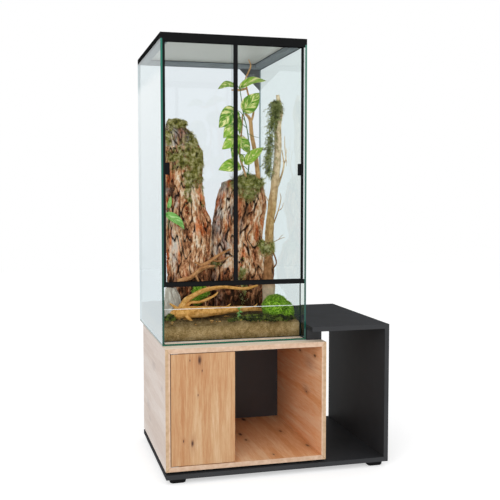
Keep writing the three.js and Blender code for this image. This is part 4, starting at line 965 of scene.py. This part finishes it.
def make_hanging_moss(materials, draw):
    """Moss that hangs beside the trunk in long thin strands, each with shoots on it."""
    shape = Shape()
    line = smooth_line(at_soil([(534, 286, 924), (528, 282, 892), (518, 284, 836), (510, 284, 760), (502, 286, 690),
                                (500, 288, 620)]), 12)
    for _ in range(560):
        share = draw.random() ** 1.5
        start = line[int(share * (len(line) - 1))]
        wide = 11 - 6 * share
        point = start + Vector((draw.gauss(-3, wide), draw.uniform(-14, 6), draw.uniform(-12, 12)))
        tone = draw.random()
        heading = Vector((draw.uniform(-1, 1), draw.uniform(-0.7, 0.7), draw.uniform(-0.8, 0.3)))
        path = [point]
        for _ in range(draw.randint(2, 5)):
            stray = Vector((draw.uniform(-0.9, 0.9), draw.uniform(-0.5, 0.5), draw.uniform(-0.9, 0.2)))
            heading = (heading * 0.6 + stray).normalized()
            point = point + heading * draw.uniform(6, 10)
            if point.z > SOIL_TOP + 592:
                path.append(point)
        for a, b in zip(path, path[1:]):
            side = (b - a).cross(Vector((0, 1, 0)))
            side = side.normalized() * 0.8 if side.length > 0.1 else Vector((0.8, 0, 0))
            deep = Vector((0, 0.8, 0))
            corners = [a + side, a - side * 0.5 + deep, a - side * 0.5 - deep]
            ends = [b + side * 0.7, b - side * 0.35 + deep * 0.7, b - side * 0.35 - deep * 0.7]
            faces = [(0, 1, 4, 3), (1, 2, 5, 4), (2, 0, 3, 5), (0, 2, 1), (3, 4, 5)]
            shape.add(corners + ends, faces, [(0.5, tone, 0)] * 6)
        ways = [(p, Vector((draw.uniform(-1, 1), draw.uniform(-1, 1), -0.2))) for p in path for _ in range(3)]
        shoots(shape, ways, 8, 1.7, draw)
    make_piece("hanging_moss_strands", shape, materials["grey_moss"], ["hanging_moss"])


def make_soil(materials):
    """Loose soil behind the lower pane: an uneven top with crumbs, bits of bark and a few fibres on it."""
    draw = random.Random(11)
    shape = Shape()
    x0, x1, y0, y1, bottom = 9.5, 590.5, 124.5, 758.5, 498.5
    columns, rows = 150, 120

    def height(x, y):
        slow = 2.5 * math.sin(x / 47) + 2 * math.cos(y / 61 + x / 90) + 16 * (y - 123) / 700
        clods = noise.fractal(Vector((x * 0.03, y * 0.03, 0.7)), 1.0, 2.0, 4)
        crumbs = noise.noise(Vector((x * 0.19, y * 0.19, 4.2)))
        # It falls towards the pane, more in some places than in others.
        fall = (9 + 6 * noise.noise(Vector((x * 0.016, 3.1, 0)))) * math.exp((y0 - y) / 24)
        return 565 + slow + 5.5 * clods + 2.2 * crumbs - fall

    points = []
    for j in range(rows + 1):
        y = y0 + (y1 - y0) * (j / rows) ** 1.25
        for i in range(columns + 1):
            x = x0 + (x1 - x0) * i / columns
            points.append(Vector((x, y, height(x, y))))
    wide = columns + 1
    faces = [
        (j * wide + i, j * wide + i + 1, (j + 1) * wide + i + 1, (j + 1) * wide + i)
        for j in range(rows)
        for i in range(columns)
    ]
    rim = (
        list(range(wide)) + [j * wide + columns for j in range(1, rows + 1)]
        + [rows * wide + i for i in range(columns - 1, -1, -1)] + [j * wide for j in range(rows - 1, 0, -1)]
    )
    first = len(points)
    points += [Vector((points[i].x, points[i].y, bottom)) for i in rim]
    count = len(rim)
    faces += [(rim[(k + 1) % count], rim[k], first + k, first + (k + 1) % count) for k in range(count)]
    faces.append(tuple(first + k for k in range(count - 1, -1, -1)))
    shape.add(points, faces, [(0, 0, 0)] * len(points))
    corners = [Vector(c) for c in ((1, 0, 0), (-1, 0, 0), (0, 1, 0), (0, -1, 0), (0, 0, 1), (0, 0, -1))]
    sides = [(0, 2, 4), (2, 1, 4), (1, 3, 4), (3, 0, 4), (2, 0, 5), (1, 2, 5), (3, 1, 5), (0, 3, 5)]
    for _ in range(2600):
        x = draw.uniform(x0 + 5, x1 - 5)
        y = y0 + 5 + (y1 - y0 - 12) * draw.random() ** 1.7
        size = draw.uniform(1.4, 4.6)
        centre = Vector((x, y, height(x, y) + size * 0.3))
        shape.add([centre + c * size * draw.uniform(0.5, 1.2) for c in corners], sides, [(0, 0, 0)] * 6)
    make_piece("soil_bed", shape, materials["soil"], ["soil"])

    litter = Shape()
    for k in range(22):
        x = draw.uniform(40, 560)
        y = draw.uniform(130, 250)
        turn = draw.uniform(0, math.pi)
        reach = draw.uniform(8, 26)
        step = Vector((math.cos(turn), math.sin(turn) * 0.5, 0)) * reach
        step.y = max(step.y, 127 - y)
        middle = Vector((x, y, height(x, y) + 2.5))
        far = middle + step
        if not 14 < far.x < 586:
            continue
        far.z = height(far.x, far.y) + 2
        arched = [middle, (middle + far) / 2 + Vector((0, 0, 2)), far]
        limb(litter, arched, [1.4, 1.6, 0.8], sides=6, steps=4, seed=70.0 + k)
    make_piece("soil_litter", litter, materials["driftwood"])


# ---- Screen, silicone, bottom sheet and gauze ----------------------------------------------------------------
def block(shape, low, high):
    """A plain box between two corners, for a wire or a side of the rim."""
    (x0, y0, z0), (x1, y1, z1) = low, high
    points = [Vector((x, y, z)) for z in (z0, z1) for y in (y0, y1) for x in (x0, x1)]
    faces = [(0, 2, 3, 1), (4, 5, 7, 6), (0, 1, 5, 4), (2, 6, 7, 3), (0, 4, 6, 2), (1, 3, 7, 5)]
    shape.add(points, faces, [(0, 0, 0)] * 8)


def in_carcass_mm(node):
    """A node's box in the carcass's millimetres."""
    return [[1000 * c for c in corner - CARCASS_CORNER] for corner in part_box(node)]


def make_screen(materials):
    """The lift-off screen: fine steel net in a flat rim. The real net's wires are about 1 mm apart, and it is drawn
    4 mm apart so that single wires show."""
    (x0, y0, z0), (x1, y1, z1) = in_carcass_mm("top_screen")
    rim, pitch, wire = 14, 4.0, 1.1
    shape = Shape()
    block(shape, (x0, y0, z0), (x1, y0 + rim, z1))
    block(shape, (x0, y1 - rim, z0), (x1, y1, z1))
    block(shape, (x0, y0 + rim, z0), (x0 + rim, y1 - rim, z1))
    block(shape, (x1 - rim, y0 + rim, z0), (x1, y1 - rim, z1))
    make_piece("screen_rim", shape, materials["rim"], ["top_screen"], "screen_lid", smooth=False)
    net = Shape()
    low = z0 + 1.2
    across = int((x1 - x0 - 2 * rim) / pitch)
    for i in range(1, across):
        x = x0 + rim + (x1 - x0 - 2 * rim) * i / across
        block(net, (x - wire / 2, y0 + rim - 2, low), (x + wire / 2, y1 - rim + 2, low + wire))
    down = int((y1 - y0 - 2 * rim) / pitch)
    for j in range(1, down):
        y = y0 + rim + (y1 - y0 - 2 * rim) * j / down
        block(net, (x0 + rim - 2, y - wire / 2, low + wire * 0.6), (x1 - rim + 2, y + wire / 2, low + wire * 1.6))
    make_piece("screen_net", net, materials["net"], body="screen_lid", smooth=False)


def silicone_bead(shape, start, end, first, second, size):
    """A three-sided bead in an inner corner, from start to end, against the faces that first and second run along."""
    start, end = Vector(start), Vector(end)
    a, b = Vector(first) * size, Vector(second) * size
    hollow = (a + b) * 0.38
    points = [start, start + a, start + hollow, start + b, end, end + a, end + hollow, end + b]
    faces = [(0, 1, 5, 4), (1, 2, 6, 5), (2, 3, 7, 6), (3, 0, 4, 7), (0, 3, 2, 1), (4, 5, 6, 7)]
    turned = (a.cross(b)).dot(end - start) > 0
    shape.add(points, [tuple(reversed(face)) if turned else face for face in faces], [(0, 0, 0)] * 8)


def make_silicone(materials):
    """The beads that hold the glass, black at the recessed panes and clear at the rear, and a near-white bead
    where the two lower panes meet that is a painted highlight.
    """
    left, right, floor, rear, top = 8, 592, TANK_FLOOR, 760, 1697
    foot, front = PANE_FRONT, 69
    black = Shape()
    silicone_bead(black, (left + 0.2, foot - 0.2, floor), (right - 0.2, foot - 0.2, floor), (0, -1, 0), (0, 0, 1), 2.4)
    for wall, inward in ((left, 1), (right, -1)):
        silicone_bead(black, (wall, foot - 0.2, floor + 0.2), (wall, foot - 0.2, 725), (inward, 0, 0), (0, -1, 0), 4)
        silicone_bead(black, (wall, front, floor), (wall, foot - 6, floor), (inward, 0, 0), (0, 0, 1), 3)
    make_piece("silicone_front", black, materials["silicone"], smooth=False)
    # A near-white bead where the two lower panes meet is a painted highlight, for the light that their edges catch.
    (_, _, joint), _ = in_carcass_mm("middle_pane")
    bead = Shape()
    silicone_bead(bead, (left + 0.2, foot, joint - 1.2), (right - 0.2, foot, joint - 1.2), (0, -1, 0), (0, 0, 1), 1.7)
    make_piece("painted_glint_joint", bead, materials["glint_bead"], smooth=False)
    clear = Shape()
    silicone_bead(clear, (left, rear, 590), (left, rear, top), (1, 0, 0), (0, -1, 0), 3)
    silicone_bead(clear, (right, rear, 590), (right, rear, top - 110), (-1, 0, 0), (0, -1, 0), 3)
    make_piece("silicone_rear", clear, materials["clear_silicone"], smooth=False)


def make_bottom_sheet():
    """The bottom sheet with its arrised edges, drawn 0.4 mm above the board so that the wood shows through it."""
    (x0, y0, z0), (x1, y1, z1) = in_carcass_mm("glass_bottom")
    shape = Shape()
    for z, inset in ((z0 + 0.4, 0.8), (z0 + 1.2, 0), (z1 - 0.8, 0), (z1, 0.8)):
        left, right, front, rear = x0 + inset, x1 - inset, y0 + inset, y1 - inset
        shape.points += [Vector((x, y, z)) for x, y in ((left, front), (right, front), (right, rear), (left, rear))]
    shape.faces, shape.relief = ring_faces(4, 4), [(0, 0, 0)] * 16
    glass = float_glass("float_glass_bottom", "z", "15604c", "15604c", tint="ffffff", shine=0.15, bends=True)
    make_piece("bottom_sheet", shape, glass, ["glass_bottom"], smooth=False)


def make_corner_gauze(materials):
    """Fine gauze behind the corner vent's triangular window, so that no insect leaves by it."""
    (_, y0, _), (x1, _, z1) = in_carcass_mm("corner_vent")
    right, top, leg, pitch, wire = x1 - 20, z1 - 20, 48, 2.4, 1.3
    shape = Shape()
    for i in range(int(leg / pitch)):
        at = i * pitch
        block(shape, (right - at - wire, y0 + 0.6, top - leg + at), (right - at, y0 + 0.6 + wire, top))
        block(shape, (right - leg + at, y0 + 1.1, top - at - wire), (right, y0 + 1.1 + wire, top - at))
    make_piece("corner_gauze", shape, materials["gauze"], smooth=False)


# ---- The whole -----------------------------------------------------------------------------------------------
def dress(names, material):
    """Gives CAD nodes that are kept as they are their material."""
    for name in names:
        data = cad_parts[name].data
        data.materials.clear()
        data.materials.append(material)


def dress_cabinet():
    dress(["cupboard_door"], knotty_oak_laminate(
        "knotty_oak_laminate_upright", "z",
        [(137, 0, 441, 11), (107, 0, 109, 9), (71, 0, 121, 4), (98, 0, 442, 3), (147, 0, 399, 3), (130, 0, 302, 3)],
        DOOR_OAK, banded=False,
    ))
    dress(["oak_side_right"], knotty_oak_laminate(
        "knotty_oak_laminate_wall", "y",
        [(647, 87, 417, 9), (647, 285, 404, 6), (647, 196, 239, 5)], LIT_WALL_OAK,
        smears=[(647, 150, 372, 34), (647, 200, 250, 22)],
    ))
    dress(["oak_side_left"], knotty_oak_laminate(
        "knotty_oak_laminate_side", "y", (), SHEEN_SIDE_OAK,
        smears=[(0, 316, 365, 20), (0, 485, 154, 24), (0, 90, 314, 14), (0, 448, 101, 14)],
    ))
    dress(["oak_bottom"], knotty_oak_laminate(
        "knotty_oak_laminate_floor", "y",
        [(470, 604, 19, 16), (395, 371, 19, 12), (584, 372, 19, 10), (634, 139, 19, 11), (398, 282, 19, 8),
         (458, 58, 19, 6)], FLOOR_OAK,
    ))
    dress(["oak_top"], knotty_oak_laminate("knotty_oak_laminate_top", "x", (), LIT_TOP_OAK))
    dress(["oak_divider"], knotty_oak_laminate("knotty_oak_laminate_plain", "y"))
    dress(["surround_base", "surround_panel", "surround_shelf", "shelf_riser"],
          anthracite_laminate("anthracite_melamine_board"))
    dress(["back_panel"], anthracite_laminate("anthracite_hardboard", "3b3d41", "45474c"))
    dress(["plinth_spacer", "foot_front_left", "foot_front_right", "foot_rear_left", "foot_rear_right", "push_latch",
           "pivot_bush_lower", "pivot_bush_upper", "pane_left_edge", "pane_left_seal", "pane_left_pull",
           "pane_right_edge", "pane_right_pull"], fine_grained_plastic("moulded_black_abs"))
    dress(["corner_vent"], fine_grained_plastic("moulded_grey_abs", "6c6d6e"))
    dress(["rail_lower", "rail_upper", "frame_front"], powder_coated_aluminium("powder_coated_aluminium"))
    for side, inward in (("rear", (0, -1, -1)), ("left", (1, 0, -1)), ("right", (-1, 0, -1))):
        dress(["frame_" + side], powder_coated_aluminium("powder_coated_bar_" + side, inward))
    dress(["pivot_pin_lower", "pivot_pin_upper", "strike_plate"], brushed_steel("zinc_plated_steel", "c9ccce"))
    dress(["vent_strip"], brushed_steel("stamped_steel_strip", "3c3e3f"))
    dress(["glass_left"], float_glass("float_glass_left", "x", "0a4638", "146b58", outer=-1))
    dress(["glass_right"], float_glass(
        "float_glass_right", "x", "0f4c40", "35705f", outer=1, inner_gloss=0.02, tint="f2f7f6"
    ))
    dress(["glass_rear"], float_glass("float_glass_rear", "y", "b9c9cb", "c6d2d4", inner_gloss=0.06, tint="f6f9fa"))
    dress(["pane_left", "pane_right"], float_glass("float_glass_sliding", "y", "2a6a5c", "2a6a5c", tint="fbfcfd"))
    # The two lower panes' edges are painted near white: a painted highlight for the light that they catch.
    dress(["lower_pane", "middle_pane"], float_glass("float_glass_painted_glint", "y", "f4fbfa", "f4fbfa", tint="fbfcfd"))


def planting_materials():
    return {
        "bark": pine_bark("flaking_pine_bark",
                          [(0.0, "33200f"), (0.25, "7a5036"), (0.5, "bd8258"), (0.75, "e2b68a"), (1.0, "f8e2c6")],
                          [(0.0, "2a2622"), (0.35, "7a6f66"), (0.65, "a79c91"), (1.0, "d0c7bc")]),
        "cork": pine_bark("lichened_cork_bark", [(0.0, "b5ad9e"), (1.0, "ece8dc")],
                          [(0.0, "bcb4a4"), (0.4, "e0dcce"), (1.0, "f8f6f0")], "a1988a", 0.0),
        "trunk": weathered_wood("weathered_tan_trunk",
                                [(0.0, "5a4226"), (0.35, "a37e4c"), (0.65, "c9a76f"), (1.0, "e4cb9c")],
                                [("fdeecb", 450, 700, 0.0), ("c27a48", 330, 270, 0.2), ("54301c", 330, 270, 0.9),
                                 ("efe0c0", 150, 120, 0.4)]),
        "driftwood": weathered_wood("sandblasted_driftwood",
                                    [(0.0, "6b4018"), (0.35, "cb9044"), (0.65, "ebb466"), (1.0, "f8d496")]),
        "root": weathered_wood("peeled_root", [(0.0, "54351d"), (0.4, "b27a4a"), (0.7, "d29e6a"), (1.0, "e8c196")]),
        "twig": weathered_wood("bare_climbing_stem",
                               [(0.0, "95693c"), (0.4, "d09f68"), (0.7, "e4bb88"), (1.0, "f0d3a8")]),
        "stem": weathered_wood("green_stem", [(0.0, "2f4f33"), (0.5, "4f7a4a"), (1.0, "86a05a")]),
        "olive_moss": live_moss("dry_olive_moss",
                                [(0.0, "33300f"), (0.25, "6f6c28"), (0.5, "a9a548"), (0.8, "ded48a"), (1.0, "f6edc0")]),
        "dry_moss": live_moss("dry_green_moss",
                              [(0.0, "3f4419"), (0.3, "888e3c"), (0.6, "c0c166"), (1.0, "f2eeb6")]),
        "mat_moss": live_moss("dark_carpet_moss",
                              [(0.0, "17190a"), (0.45, "383f19"), (0.75, "6b7a2c"), (1.0, "9aa84a")]),
        "bright_moss": live_moss("bright_cushion_moss",
                                 [(0.0, "35590a"), (0.3, "659a1c"), (0.7, "9cca38"), (1.0, "cbe66c")], 170.0),
        "grey_moss": live_moss("hanging_grey_moss", [(0.0, "4a5224"), (0.5, "8b9450"), (1.0, "c6cc86")]),
        "leaf": variegated_leaf("variegated_leaf", "46801c", "9cc63c", "f0eca0", 0.52),
        "pale_leaf": variegated_leaf("young_pale_leaf", "5fa23e", "96cc6c", "d2ecae", 0.56),
        "soil": potting_soil("coir_and_sand"),
        "silicone": fine_grained_plastic("black_silicone", "12201c"),
        "clear_silicone": fine_grained_plastic("clear_silicone", "c3ced0"),
        # A painted highlight: the near-white bead at the lower panes' joint.
        "glint_bead": fine_grained_plastic("painted_glint_silicone", "f2f8f6"),
        "rim": powder_coated_aluminium("powder_coated_rim", (0, 0, -1)),
        "net": brushed_steel("woven_stainless_net", "dcddd6"),
        "gauze": brushed_steel("blackened_steel_gauze", "737576"),
    }


bpy.context.scene.view_settings.view_transform = "Standard"
set_camera()
set_studio()
dress_cabinet()
materials = planting_materials()
make_bark(materials)
make_wood(materials)
make_vine(materials)
make_moss(materials)
make_soil(materials)
make_screen(materials)
make_silicone(materials)
make_bottom_sheet()
make_corner_gauze(materials)
